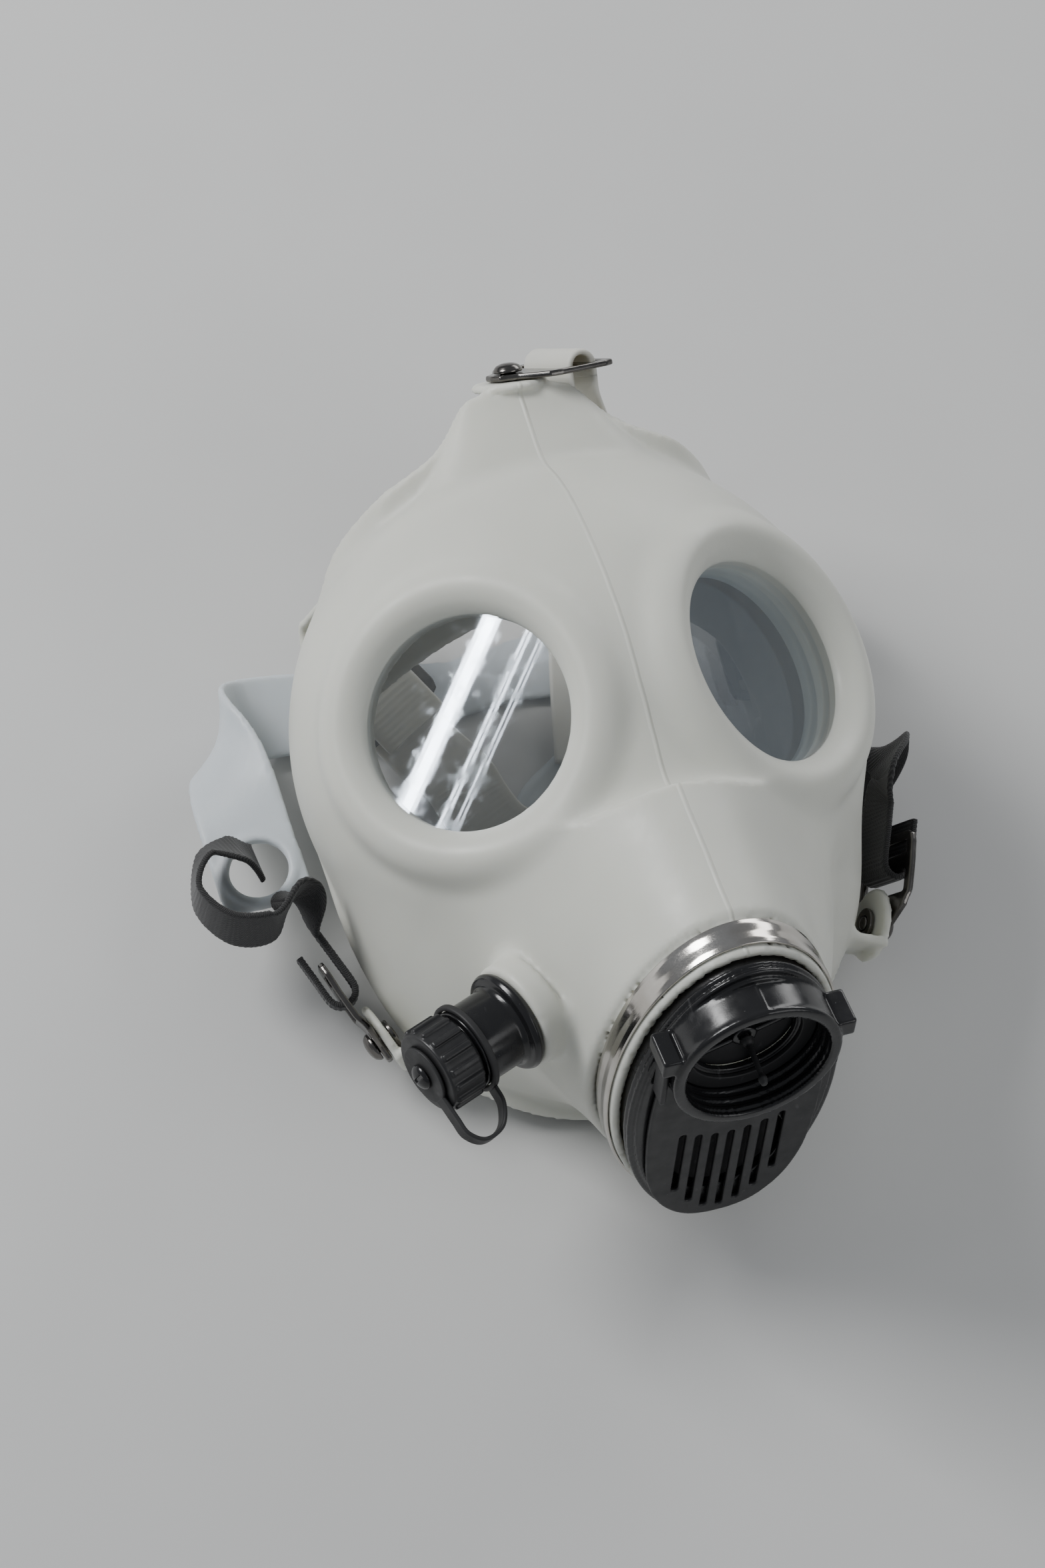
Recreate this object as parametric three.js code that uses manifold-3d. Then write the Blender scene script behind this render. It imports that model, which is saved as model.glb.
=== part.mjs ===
// Full face respirator: a moulded silicone facepiece with two flat lenses, an oval port with a
// threaded-canister collar and a slotted exhale cover, a capped drinking tube and a head harness.
//
// Units are millimetres. The facepiece is drawn in a face frame: x across the face, y towards the
// forehead, z out of the face, with the origin midway between the lens centres. The whole mask lies
// on its back rim, so the face frame is pitched about x, and the finished part has +Z up and its
// origin at the middle of the underside of its box.

import * as THREE from 'three';
import { mergeVertices } from 'three/addons/utils/BufferGeometryUtils.js';
import Module from 'manifold-3d';

const wasm = await Module();
wasm.setup();

// ---- Driving dimensions -------------------------------------------------------------------------

const GAP = 0.3; // between pieces that touch
const ROUND = 32; // facets in a large round piece
const PITCH = THREE.MathUtils.degToRad(12); // how far the face tips back as the mask lies down
const TABLE_DROP = 91.5; // table plane below the face frame's origin

const RIM_LEVEL = 3.4; // lowest point of the face seal above the table
const WALL = 3; // silicone wall
const NET_STEP = { outer: 11.7, inner: 14 }; // cells of the facepiece's two surfaces

const LENS = { x: 41.8, radius: 31.5, sight: 29.5, thick: 2.4, yaw: Math.atan2(0.534, 0.845) };

const PORT = { y: -112.5, z: 31.9, tilt: THREE.MathUtils.degToRad(64.1) }; // collar rim centre
const NECK = { a: 31.5, b: 54, wall: 2.4, drop: 27, front: -16.8, root: -36, cut: -28.4 };
const BAND = { thick: 0.9, width: 8, front: -19 };
const HOUSING = { a: 29.5, b: 53.5, front: -10.8, back: -14.3, spigot: 15, spigotWall: 2.2 };
const COLLAR = { outer: 22.9, bore: 19.9, floor: -12.6 };
const EXHALE = { y: -50, seatOuter: 17, hole: 13.5, disc: 15.6 };
const COVER = { front: -7.8, thick: 1.5, rim: -9.5, wall: 1.8, slots: 7, slotPitch: 4.71, slotWide: 2.1 };

const TUBE = { at: [-49.1, -79.2, -8], axis: [-0.929, -0.336, 0.154], radius: 11.2, bore: 5.2, flange: 14.4 };
const CAP = { outer: 12.3, face: 30, skirt: 19.2, ribs: 16 };

const STRAP = { wide: 23, thick: 1.8 };
const BUCKLE = { wide: 31, thick: 1.7, eye: 5.5, slotNear: 9, bar: [15.5, 20.5], end: 24.2, far: 27, rivet: 2.1 };
const RIVET = { head: 4.2, dome: 2.4, washer: 4.6 };

// ---- Materials ----------------------------------------------------------------------------------

const look = (color, roughness, metalness = 0, opacity = 1) =>
  new THREE.MeshStandardMaterial({ color, roughness, metalness, opacity, transparent: opacity < 1 });

const silicone = () => look(0xdcddd2, 0.45);
const thinSilicone = () => look(0xd2dade, 0.4);
const clear = () => look(0xf2f6f8, 0.05, 0, 0.25);
const blackPlastic = () => look(0x17181a, 0.35);
const blackRubber = () => look(0x1c1d1e, 0.55);
const steel = () => look(0xb9b4ac, 0.15, 1);
const gunmetal = () => look(0x4d4c4a, 0.28, 1);
const webbing = () => look(0x2b2b2c, 0.85);

// ---- Solid helpers ------------------------------------------------------------------------------

function solid(geometry) {
  const bare = geometry.clone();
  bare.deleteAttribute('normal');
  bare.deleteAttribute('uv');
  const merged = mergeVertices(bare, 1e-4);
  return new wasm.Manifold(new wasm.Mesh({
    numProp: 3,
    vertProperties: new Float32Array(merged.attributes.position.array),
    triVerts: new Uint32Array(merged.index.array),
  }));
}

function geometry(body) {
  const mesh = body.getMesh();
  const result = new THREE.BufferGeometry();
  result.setAttribute('position', new THREE.BufferAttribute(new Float32Array(mesh.vertProperties), 3));
  result.setIndex(new THREE.BufferAttribute(new Uint32Array(mesh.triVerts), 1));
  const faceted = result.toNonIndexed();
  faceted.computeVertexNormals();
  return faceted;
}

const join = (...bodies) => bodies.reduce((sum, body) => sum.add(body));
const cut = (body, ...tools) => tools.reduce((rest, tool) => rest.subtract(tool), body);
const turned = (profile, segments = 24) =>
  solid(new THREE.LatheGeometry(profile.map(([r, z]) => new THREE.Vector2(r, z)), segments).rotateX(Math.PI / 2));

// A disc or ring about z from z0 to z1.
const rod = (radius, z0, z1, segments = 24) => turned([[0, z0], [radius, z0], [radius, z1], [0, z1]], segments);
const ring = (outer, inner, z0, z1, segments = 24) =>
  turned([[inner, z0], [outer, z0], [outer, z1], [inner, z1], [inner, z0]], segments);
const block = (x0, y0, z0, x1, y1, z1) =>
  solid(new THREE.BoxGeometry(x1 - x0, y1 - y0, z1 - z0)
    .translate((x0 + x1) / 2, (y0 + y1) / 2, (z0 + z1) / 2));

function extruded(shape, z0, z1, curveSegments = 12) {
  const options = { depth: z1 - z0, bevelEnabled: false, curveSegments };
  return solid(new THREE.ExtrudeGeometry(shape, options).translate(0, 0, z0));
}

function oval(a, b, y, z0, z1) {
  const shape = new THREE.Shape().absellipse(0, y, a, b, 0, 2 * Math.PI, false, 0);
  return extruded(shape, z0, z1, ROUND / 2);
}

// A strip of rectangular section along a smooth run of stations {p: point, w: width direction}.
function ribbon(stations, wide, thick, steps = 24) {
  const along = (key) => new THREE.CatmullRomCurve3(stations.map((s) => new THREE.Vector3(...s[key])));
  const spine = along('p');
  const across = along('w');
  const corners = [];
  for (let i = 0; i <= steps; i += 1) {
    const t = i / steps;
    const centre = spine.getPoint(t);
    const tangent = spine.getTangent(t);
    const side = across.getPoint(t).projectOnPlane(tangent).normalize().multiplyScalar(wide / 2);
    const lift = new THREE.Vector3().crossVectors(tangent, side).setLength(thick / 2);
    for (const [s, l] of [[1, 1], [-1, 1], [-1, -1], [1, -1]]) {
      corners.push(centre.clone().addScaledVector(side, s).addScaledVector(lift, l));
    }
  }
  const faces = [];
  for (let i = 0; i < steps; i += 1) {
    for (let k = 0; k < 4; k += 1) {
      const a = 4 * i + k;
      const b = 4 * i + ((k + 1) % 4);
      faces.push(a, b, b + 4, a, b + 4, a + 4);
    }
  }
  const end = 4 * steps;
  faces.push(0, 3, 2, 0, 2, 1, end, end + 1, end + 2, end, end + 2, end + 3);
  const result = new THREE.BufferGeometry().setFromPoints(corners);
  result.setIndex(faces);
  return solid(result);
}

// ---- Facepiece form: negative inside, roughly a distance -----------------------------------------

const clampUnit = (t) => Math.min(1, Math.max(0, t));
const smoothStep = (t) => clampUnit(t) ** 2 * (3 - 2 * clampUnit(t));

function blendUnion(a, b, k) {
  const h = clampUnit(0.5 + (0.5 * (b - a)) / k);
  return b + (a - b) * h - k * h * (1 - h);
}
const blendCut = (a, b, k) => -blendUnion(-a, b, k);

function ellipsoid(x, y, z, a, b, c) {
  const k0 = Math.hypot(x / a, y / b, z / c);
  const k1 = Math.hypot(x / a ** 2, y / b ** 2, z / c ** 2);
  return k1 === 0 ? -Math.min(a, b, c) : (k0 * (k0 - 1)) / k1;
}

// Coordinates along the port: u across, v up the face, w out of the port.
function portCoords(x, y, z) {
  const dy = y - PORT.y;
  const dz = z - PORT.z;
  const c = Math.cos(PORT.tilt);
  const s = Math.sin(PORT.tilt);
  return [x, dy * c + dz * s, dz * c - dy * s];
}

// Distance from a lens axis and height in front of the lens.
function lensCoords(x, y, z) {
  const dx = Math.abs(x) - LENS.x;
  const c = Math.cos(LENS.yaw);
  const s = Math.sin(LENS.yaw);
  return [Math.hypot(dx * c - z * s, y), dx * s + z * c];
}

// The back of the facepiece follows the face, drops away under the chin and is level at the cheeks.
function faceBack(x, y) {
  const curved = -38 - 0.0103 * x ** 2 - 40 * smoothStep(-y / 95);
  const level = (RIM_LEVEL - TABLE_DROP - y * Math.sin(PITCH)) / Math.cos(PITCH);
  return Math.max(curved, level, -81);
}

function headForm(x, y, z) {
  const dome = ellipsoid(x, y - 2, z + 45, 83, 82, 69);
  const muzzle = ellipsoid(x, y + 55, z + 25, 50, 60, 47);
  const jaw = ellipsoid(x, y + 45, z + 60, 74, 57, 45);
  const [u, v, w] = portCoords(x, y, z);
  const flare = 0.12 * Math.max(0, NECK.cut - w);
  const tube = ellipsoid(u, v + NECK.drop, 0, NECK.a + 1.5 + flare, NECK.b + 1.5 + flare, 1);
  const neck = Math.max(tube, w - NECK.front, -70 - w);
  const body = blendUnion(blendUnion(blendUnion(dome, muzzle, 14), jaw, 14), neck, 12);
  return blendCut(body, z - faceBack(x, y), 7);
}

function outerForm(x, y, z) {
  const [rho, h] = lensCoords(x, y, z);
  const well = Math.max(rho - 38, 0.5 - h);
  const rim = Math.hypot(rho - 36.5, (h - 0.5) * 0.95) - 6.6;
  return blendUnion(blendCut(headForm(x, y, z), well, 4), rim, 5);
}

function innerForm(x, y, z) {
  const [rho, h] = lensCoords(x, y, z);
  const seat = Math.max(rho - 39, -4.6 - h);
  return blendCut(headForm(x, y, z) + WALL, seat, 5);
}

// Surface net: one point in each cell that the form's zero level crosses, joined across cell edges.
function surfaceNet(form, low, high, step) {
  const count = low.map((v, i) => Math.ceil((high[i] - v) / step) + 1);
  const at = (i, j, k) => (i * count[1] + j) * count[2] + k;
  const place = (i, j, k) => [low[0] + i * step, low[1] + j * step, low[2] + k * step];
  const value = new Float64Array(count[0] * count[1] * count[2]);
  const each = (end, visit) => {
    for (let i = 0; i < count[0] - end; i += 1) {
      for (let j = 0; j < count[1] - end; j += 1) {
        for (let k = 0; k < count[2] - end; k += 1) visit(i, j, k);
      }
    }
  };
  each(0, (i, j, k) => { value[at(i, j, k)] = form(...place(i, j, k)); });

  const points = [];
  const cell = new Map();
  const corner = [0, 1, 2, 3, 4, 5, 6, 7].map((n) => [n & 1, (n >> 1) & 1, (n >> 2) & 1]);
  const edges = corner.flatMap((a, n) => [1, 2, 4].filter((b) => !(n & b)).map((b) => [n, n | b]));
  each(1, (i, j, k) => {
    const v = corner.map(([a, b, c]) => value[at(i + a, j + b, k + c)]);
    const crossings = edges.filter(([a, b]) => v[a] < 0 !== v[b] < 0);
    if (crossings.length === 0) return;
    const sum = new THREE.Vector3();
    for (const [a, b] of crossings) {
      const t = v[a] / (v[a] - v[b]);
      const [p, q] = [corner[a], corner[b]].map((o) => new THREE.Vector3(...o));
      sum.add(p.lerp(q, t));
    }
    const point = sum.divideScalar(crossings.length).add(new THREE.Vector3(i, j, k));
    point.multiplyScalar(step).add(new THREE.Vector3(...low));
    cell.set(at(i, j, k), points.length);
    points.push(settle(point, form, step));
  });

  const faces = [];
  const quad = (a, b, c, d, flip) => {
    const [p, q, r, s] = [a, b, c, d].map((n) => cell.get(n));
    faces.push(...(flip ? [p, r, q, p, s, r] : [p, q, r, p, r, s]));
  };
  each(1, (i, j, k) => {
    const inside = value[at(i, j, k)] < 0;
    if (j && k && inside !== value[at(i + 1, j, k)] < 0) {
      quad(at(i, j - 1, k - 1), at(i, j, k - 1), at(i, j, k), at(i, j - 1, k), !inside);
    }
    if (i && k && inside !== value[at(i, j + 1, k)] < 0) {
      quad(at(i - 1, j, k - 1), at(i - 1, j, k), at(i, j, k), at(i, j, k - 1), !inside);
    }
    if (i && j && inside !== value[at(i, j, k + 1)] < 0) {
      quad(at(i - 1, j - 1, k), at(i, j - 1, k), at(i, j, k), at(i - 1, j, k), !inside);
    }
  });
  const result = new THREE.BufferGeometry().setFromPoints(points);
  result.setIndex(faces);
  return result;
}

// Slide a point down the form's slope onto its zero level.
function settle(point, form, step) {
  const start = point.clone();
  const e = 0.05;
  for (let n = 0; n < 3; n += 1) {
    const f = form(point.x, point.y, point.z);
    const slope = new THREE.Vector3(
      form(point.x + e, point.y, point.z) - f,
      form(point.x, point.y + e, point.z) - f,
      form(point.x, point.y, point.z + e) - f,
    ).divideScalar(e);
    point.addScaledVector(slope, -f / Math.max(slope.lengthSq(), 0.3));
  }
  return point.distanceTo(start) < 0.6 * step ? point : start;
}

// ---- Frames -------------------------------------------------------------------------------------

const frameMatrix = (origin, xAxis, zAxis) => {
  const z = new THREE.Vector3(...zAxis).normalize();
  const x = new THREE.Vector3(...xAxis).projectOnPlane(z).normalize();
  const y = new THREE.Vector3().crossVectors(z, x);
  return new THREE.Matrix4().makeBasis(x, y, z).setPosition(...origin);
};
const portFrame = new THREE.Matrix4().makeRotationX(PORT.tilt).setPosition(0, PORT.y, PORT.z);
const tubeFrame = frameMatrix(TUBE.at, [0.36, -0.93, 0], TUBE.axis);
const lensFrame = (side) =>
  new THREE.Matrix4().makeRotationY(side * LENS.yaw).setPosition(side * LENS.x, 0, 0);
const carried = (body, matrix) => solid(geometry(body).applyMatrix4(matrix));

const part = new THREE.Group();
const mask = new THREE.Group(); // the face frame
mask.rotation.x = PITCH;
mask.position.z = TABLE_DROP;
const port = new THREE.Group();
port.applyMatrix4(portFrame);
const tube = new THREE.Group();
tube.applyMatrix4(tubeFrame);
mask.add(port, tube);
part.add(mask);

function add(group, name, body, material) {
  const mesh = new THREE.Mesh(geometry(body), material);
  mesh.name = name;
  group.add(mesh);
}

// ---- Facepiece ----------------------------------------------------------------------------------

// Free edge of the skirt from the top tab down to the chin, on the wearer's left.
const SKIRT_EDGE = [
  [0, 96.5, -12], [8, 96.2, -12.2], [14, 95, -12.8], [18, 91, -14], [22, 86, -14.5], [28, 81, -14.8],
  [35, 78, -16.5], [42, 75.5, -19.5], [50, 71.5, -28], [54, 69, -35], [58, 64.5, -42], [61, 58, -45],
  [64, 50, -47], [67, 41, -52], [71, 28, -61], [75, 10, -66],
  [77, -10, -63], [77.5, -26, -61], [76, -40, -61], [71, -57, -61], [65, -71, -62], [58, -82, -62], [48, -92, -62],
  [30, -101, -66], [0, -106, -68],
];
// Where the skirt leaves the dome, just inside its wall.
const SKIRT_ROOT = [
  [0, 60, -5], [25, 57, -8.5], [45, 51, -16], [58, 44, -27], [66, 35, -40], [72, 22, -54], [76, 6, -58],
  [76, -12, -55], [72, -30, -54], [66, -46, -56], [58, -60, -57], [50, -72, -58], [36, -85, -60],
  [18, -93, -62], [0, -96, -62],
];

function mirroredLoop(half) {
  const rest = half.slice(1, -1).reverse().map(([x, y, z]) => [-x, y, z]);
  return new THREE.CatmullRomCurve3([...half, ...rest].map((p) => new THREE.Vector3(...p)), true);
}

function skirtBody(segments = 52, thick = 2.4) {
  const edge = mirroredLoop(SKIRT_EDGE);
  const root = mirroredLoop(SKIRT_ROOT);
  const corners = [];
  for (let i = 0; i < segments; i += 1) {
    const e = edge.getPoint(i / segments);
    const r = root.getPoint(i / segments);
    const back = new THREE.Vector3(0, 0, -thick);
    corners.push(r, e, e.clone().add(back), r.clone().add(back));
  }
  const faces = [];
  for (let i = 0; i < segments; i += 1) {
    for (let k = 0; k < 4; k += 1) {
      const a = 4 * i + k;
      const b = 4 * i + ((k + 1) % 4);
      const [c, d] = [a, b].map((n) => (n + 4) % (4 * segments));
      faces.push(a, c, d, a, d, b);
    }
  }
  const result = new THREE.BufferGeometry().setFromPoints(corners);
  result.setIndex(faces);
  return solid(result);
}

// Harness tabs: rivet point on the tab's outer face, outward normal and the way the strap leaves.
const TABS = {
  top: { at: [0, 100, -17.8], normal: [0.02, 0.9, 0.43], pull: [0.95, 0.12, -0.285] },
  temple_left: { at: [-53.5, 48.6, -85], normal: [0, 0, 1], pull: [0.5, -0.866, 0] },
  temple_right: { at: [77, 38, -89], normal: [0, 0, 1], pull: [0, -1, 0] },
  cheek_left: { at: [-75, -69.5, -61], normal: [-0.9, -0.36, -0.2], pull: [-0.33, 0.94, 0.05] },
  cheek_right: { at: [75, -69.5, -61], normal: [0.9, -0.36, -0.2], pull: [0.33, 0.94, 0.05] },
};
const TAB_THICK = 2.6;
const tabFrame = ({ at, normal, pull }) => {
  const across = new THREE.Vector3().crossVectors(new THREE.Vector3(...pull), new THREE.Vector3(...normal));
  return frameMatrix(at, across.toArray(), normal);
};

// A tab ends in a round flap under its rivet; a root leads it back into the skirt.
function tabBody(key, root) {
  const flap = carried(rod(11, -TAB_THICK, 0, 16), tabFrame(TABS[key]));
  return root.length ? join(flap, ribbon(root, 21, TAB_THICK - 0.3, 7)) : flap;
}
const mirrorX = (list) => list.map(({ p, w }) => ({ p: [-p[0], p[1], p[2]], w: [w[0], -w[1], -w[2]] }));
const CHEEK_ROOT = [
  { p: [-58, -66, -56], w: [0.1, 0.1, 1] },
  { p: [-64.5, -72, -59], w: [0.1, 0.05, 1] },
  { p: [-71.4, -75, -61], w: [0.1, 0, 1] },
];
const TAB_ROOTS = {
  top: [],
  temple_left: [
    { p: [-50, 64.5, -45], w: [0.8, 0.6, 0] }, { p: [-51, 65, -60], w: [0.8, 0.6, 0] },
    { p: [-52, 64.5, -75], w: [0.85, 0.5, 0] }, { p: [-53, 61, -83.5], w: [0.93, 0.35, 0] },
    { p: [-53.5, 56.5, -86.1], w: [1, 0.1, 0] }, { p: [-53.6, 53, -86.3], w: [1, 0, 0] },
  ],
  temple_right: [
    { p: [62, 44, -38], w: [0.4, -0.92, 0] }, { p: [71, 50, -50], w: [0.5, -0.86, 0] },
    { p: [78, 55, -66], w: [0.8, -0.6, 0] }, { p: [79, 55, -82], w: [0.95, -0.3, 0] },
    { p: [77.5, 50, -89.6], w: [1, 0, 0] }, { p: [77, 46, -90.3], w: [1, 0, 0] },
  ],
  cheek_left: CHEEK_ROOT,
  cheek_right: mirrorX(CHEEK_ROOT),
};

const pickBody = (body) => body.decompose().sort((a, b) => b.volume() - a.volume())[0];

function facepieceBody() {
  const low = [-98, -150, -112];
  const high = [98, 98, 66];
  const outer = solid(surfaceNet(outerForm, low, high, NET_STEP.outer));
  const inner = solid(surfaceNet(innerForm, low, high, NET_STEP.inner));
  const half = [[0, 38], [22, 37], [44, 31], [58, 24], [64.5, 10], [65, -14], [60, -42], [49, -66], [30, -82], [0, -86]];
  const outline = [...half, ...half.slice(1, -1).reverse().map(([x, y]) => [-x, y])];
  const faceHole = new THREE.Shape(new THREE.CatmullRomCurve3(
    outline.map(([x, y]) => new THREE.Vector3(x, y, 0)), true,
  ).getPoints(40).slice(0, -1).map((p) => new THREE.Vector2(p.x, p.y)));
  const opening = extruded(faceHole, -140, -24);

  const tabs = Object.entries(TAB_ROOTS).map(([key, root]) => tabBody(key, root));
  const boss = carried(rod(15, -7, 0.9, 24), tubeFrame);
  let body = join(outer, skirtBody(), boss, ...tabs);
  const front = carried(oval(NECK.a + 30, NECK.b + 30, -NECK.drop, NECK.cut, 60), portFrame);
  const neck = carried(oval(NECK.a, NECK.b, -NECK.drop, NECK.root, NECK.front), portFrame);
  body = join(cut(body, front), neck);
  body = cut(body, inner, opening);
  const bore = oval(NECK.a - NECK.wall, NECK.b - NECK.wall, -NECK.drop, -62, 5);
  body = cut(body, carried(bore, portFrame));
  for (const side of [-1, 1]) {
    const sight = rod(LENS.sight, -14, 16, ROUND);
    const groove = rod(LENS.radius + GAP, -LENS.thick / 2 - GAP, LENS.thick / 2 + GAP, ROUND);
    body = cut(body, carried(join(sight, groove), lensFrame(side)));
  }
  for (const tab of Object.values(TABS)) {
    const hole = rod(BUCKLE.rivet + GAP, -7, 4, 12);
    const behind = rod(RIVET.washer + 0.6, -9, -TAB_THICK - 0.1, 12);
    body = cut(body, carried(join(hole, behind), tabFrame(tab)));
  }
  return cut(body, carried(join(rod(9, -20, 12, 20), rod(13.4, -16, -4.2, 20)), tubeFrame));
}

add(mask, 'facepiece', pickBody(facepieceBody()), silicone());

// ---- Lenses -------------------------------------------------------------------------------------

for (const [name, side] of [['lens_left', -1], ['lens_right', 1]]) {
  const disc = rod(LENS.radius, -LENS.thick / 2, LENS.thick / 2, ROUND);
  add(mask, name, carried(disc, lensFrame(side)), clear());
}

// ---- Clamp band and its lapped clip ---------------------------------------------------------------

const bandInner = { a: NECK.a + GAP, b: NECK.b + GAP };
const bandBack = BAND.front - BAND.width;
add(port, 'clamp_band', cut(
  oval(bandInner.a + BAND.thick, bandInner.b + BAND.thick, -NECK.drop, bandBack, BAND.front),
  oval(bandInner.a, bandInner.b, -NECK.drop, bandBack - 1, BAND.front + 1),
), steel());
const clipTop = -NECK.drop - bandInner.b - BAND.thick - GAP;
add(port, 'band_clip', join(
  block(-7, clipTop - 1, bandBack + 0.5, 7, clipTop - 0.1, BAND.front - 0.5),
  block(-2.2, clipTop - 3.4, bandBack + 1.5, 2.2, clipTop - 0.5, BAND.front - 1.5),
), steel());

// ---- Port housing: oval flange, spigot into the neck, canister collar and exhale port --------------

const lugSides = [-1, 1];
const EARS = { y0: -12, y1: 2.6, z0: COVER.front, z1: -3.4, thick: 1.6 };
const LUGS = { y0: 3.6, y1: 9.4, z0: HOUSING.front, z1: -1, reach: 26.4 };

function housingBody() {
  const flange = oval(HOUSING.a, HOUSING.b, -NECK.drop, HOUSING.back, HOUSING.front);
  const step = oval(HOUSING.a - 2, HOUSING.b - 2, -NECK.drop, HOUSING.front - 0.1, HOUSING.front + 1);
  const spigotOut = { a: NECK.a - NECK.wall - GAP, b: NECK.b - NECK.wall - GAP };
  const spigotEnd = HOUSING.back - HOUSING.spigot;
  const spigot = oval(spigotOut.a, spigotOut.b, -NECK.drop, spigotEnd, HOUSING.back + 0.1);
  const inside = oval(
    spigotOut.a - HOUSING.spigotWall, spigotOut.b - HOUSING.spigotWall, -NECK.drop,
    spigotEnd - 1, HOUSING.back,
  );
  const collar = rod(COLLAR.outer, HOUSING.front, 0, ROUND);
  const lugs = lugSides.map((side) => {
    const [near, far] = [side * (COLLAR.outer - 1.5), side * LUGS.reach].sort((a, b) => a - b);
    return block(near, LUGS.y0, LUGS.z0, far, LUGS.y1, LUGS.z1);
  });
  const exhaleWall = ring(EXHALE.seatOuter + 3, EXHALE.seatOuter, HOUSING.front, -10.1 + 0.1, ROUND);
  const body = join(cut(join(flange, step, spigot), inside), collar, ...lugs,
    carried(exhaleWall, new THREE.Matrix4().makeTranslation(0, EXHALE.y, 0)));
  return cut(
    body,
    rod(COLLAR.bore, COLLAR.floor, 1, ROUND),
    rod(COLLAR.bore - 3, HOUSING.back - 1, 1, ROUND),
    carried(rod(EXHALE.seatOuter, HOUSING.back - 1, 1, ROUND), new THREE.Matrix4().makeTranslation(0, EXHALE.y, 0)),
  );
}
add(port, 'valve_housing', housingBody(), blackPlastic());

// Spoked seat pressed into a hole, with a hub that holds a valve by its stem.
function seatBody(outer, hole, hub, stem, z0, z1, spokes) {
  const arms = Array.from({ length: spokes }, (unused, i) => {
    const arm = new THREE.BoxGeometry(hole, 1.6, z1 - z0).translate(hole / 2, 0, (z0 + z1) / 2);
    return solid(arm.rotateZ((2 * Math.PI * i) / spokes + 0.35));
  });
  const body = join(ring(outer, hole - 0.4, z0, z1, ROUND), rod(hub, z0, z1, 12), ...arms);
  return cut(body, rod(stem, z0 - 1, z1 + 1, 12));
}
const INHALE = { seat: -12.4, front: -10.6, stemHole: 1.5, disc: 15.2 };
add(port, 'inhale_seat', seatBody(
  COLLAR.bore - GAP, 14.6, 3.4, INHALE.stemHole, INHALE.seat + 0.1, INHALE.front, 4,
), blackPlastic());
add(port, 'collar_gasket', ring(COLLAR.bore - GAP, 15.4, INHALE.front + GAP, INHALE.front + 1.7, ROUND), blackRubber());

// The inhale valve: a thin disc behind the seat, a stem through the hub, and a knob on its pull tail.
add(port, 'inhale_valve', turned([
  [0, -14.2], [INHALE.disc, -13.5], [INHALE.disc, -13.1], [1.1, -12.9], [1.1, -9.2], [2.1, -9.2],
  [1.5, -7.9], [0.9, -7.2], [0.7, 1.4], [1.3, 2.8], [0.8, 4.4], [0, 4.4],
], 16), blackRubber());

const exhaleGroup = new THREE.Group();
exhaleGroup.position.y = EXHALE.y;
port.add(exhaleGroup);
add(exhaleGroup, 'exhale_seat', seatBody(
  EXHALE.seatOuter - GAP, EXHALE.hole, 3.2, 1.5, HOUSING.back + 0.4, -12.4, 3,
), blackPlastic());
add(exhaleGroup, 'exhale_valve', turned([
  [0, -16.6], [1.7, -16.6], [1.7, -15.6], [1.1, -15.4], [1.1, -12], [EXHALE.disc, -12], [EXHALE.disc, -11.6],
  [2, -11.2], [0, -11.2],
], 20), blackRubber());

// ---- Exhale cover: slotted plate with a skirt, scooped round the collar, and two ears --------------

function coverOutline(inset) {
  const w = 24.4 - inset;
  const half = [[w - 1.2, -9], [w, -26], [w - 0.4, -42], [w - 2.4, -57], [w - 7.4, -68.5], [w - 15, -75.6 + inset * 0.6]];
  const points = [
    ...half, [0, -77.5 + inset], ...half.slice().reverse().map(([x, y]) => [-x, y]),
  ];
  const curve = new THREE.CatmullRomCurve3(points.map(([x, y]) => new THREE.Vector3(x, y, 0)), false, 'centripetal');
  return new THREE.Shape(curve.getPoints(26).map((p) => new THREE.Vector2(p.x, p.y)));
}

function slotBody(x, top, bottom) {
  const r = COVER.slotWide / 2;
  const shape = new THREE.Shape();
  shape.absarc(x, top - r, r, 0, Math.PI, false);
  shape.absarc(x, bottom + r, r, Math.PI, 2 * Math.PI, false);
  return extruded(shape, COVER.front - COVER.thick - 1, COVER.front + 1, 3);
}

function coverBody() {
  const plate = extruded(coverOutline(0), COVER.rim, COVER.front);
  const hollow = extruded(coverOutline(COVER.wall), COVER.rim - 1, COVER.front - COVER.thick);
  const slots = Array.from({ length: COVER.slots }, (unused, i) => {
    const k = i - (COVER.slots - 1) / 2;
    return slotBody(k * COVER.slotPitch, -39 + 0.36 * k * k, -74.4 + 1.36 * k * k);
  });
  const ears = lugSides.map((side) => {
    const [near, far] = [side * (COLLAR.outer + GAP), side * (COLLAR.outer + GAP + EARS.thick)].sort((a, b) => a - b);
    return block(near, EARS.y0, EARS.z0 - COVER.thick, far, EARS.y1, EARS.z1);
  });
  return cut(
    join(cut(plate, hollow), ...ears),
    rod(COLLAR.outer + GAP, COVER.rim - 1, 1, ROUND),
    ...slots,
  );
}
add(port, 'exhale_cover', coverBody(), blackPlastic());

// ---- Drinking tube, retaining nut, leash and ribbed cap --------------------------------------------

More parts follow.
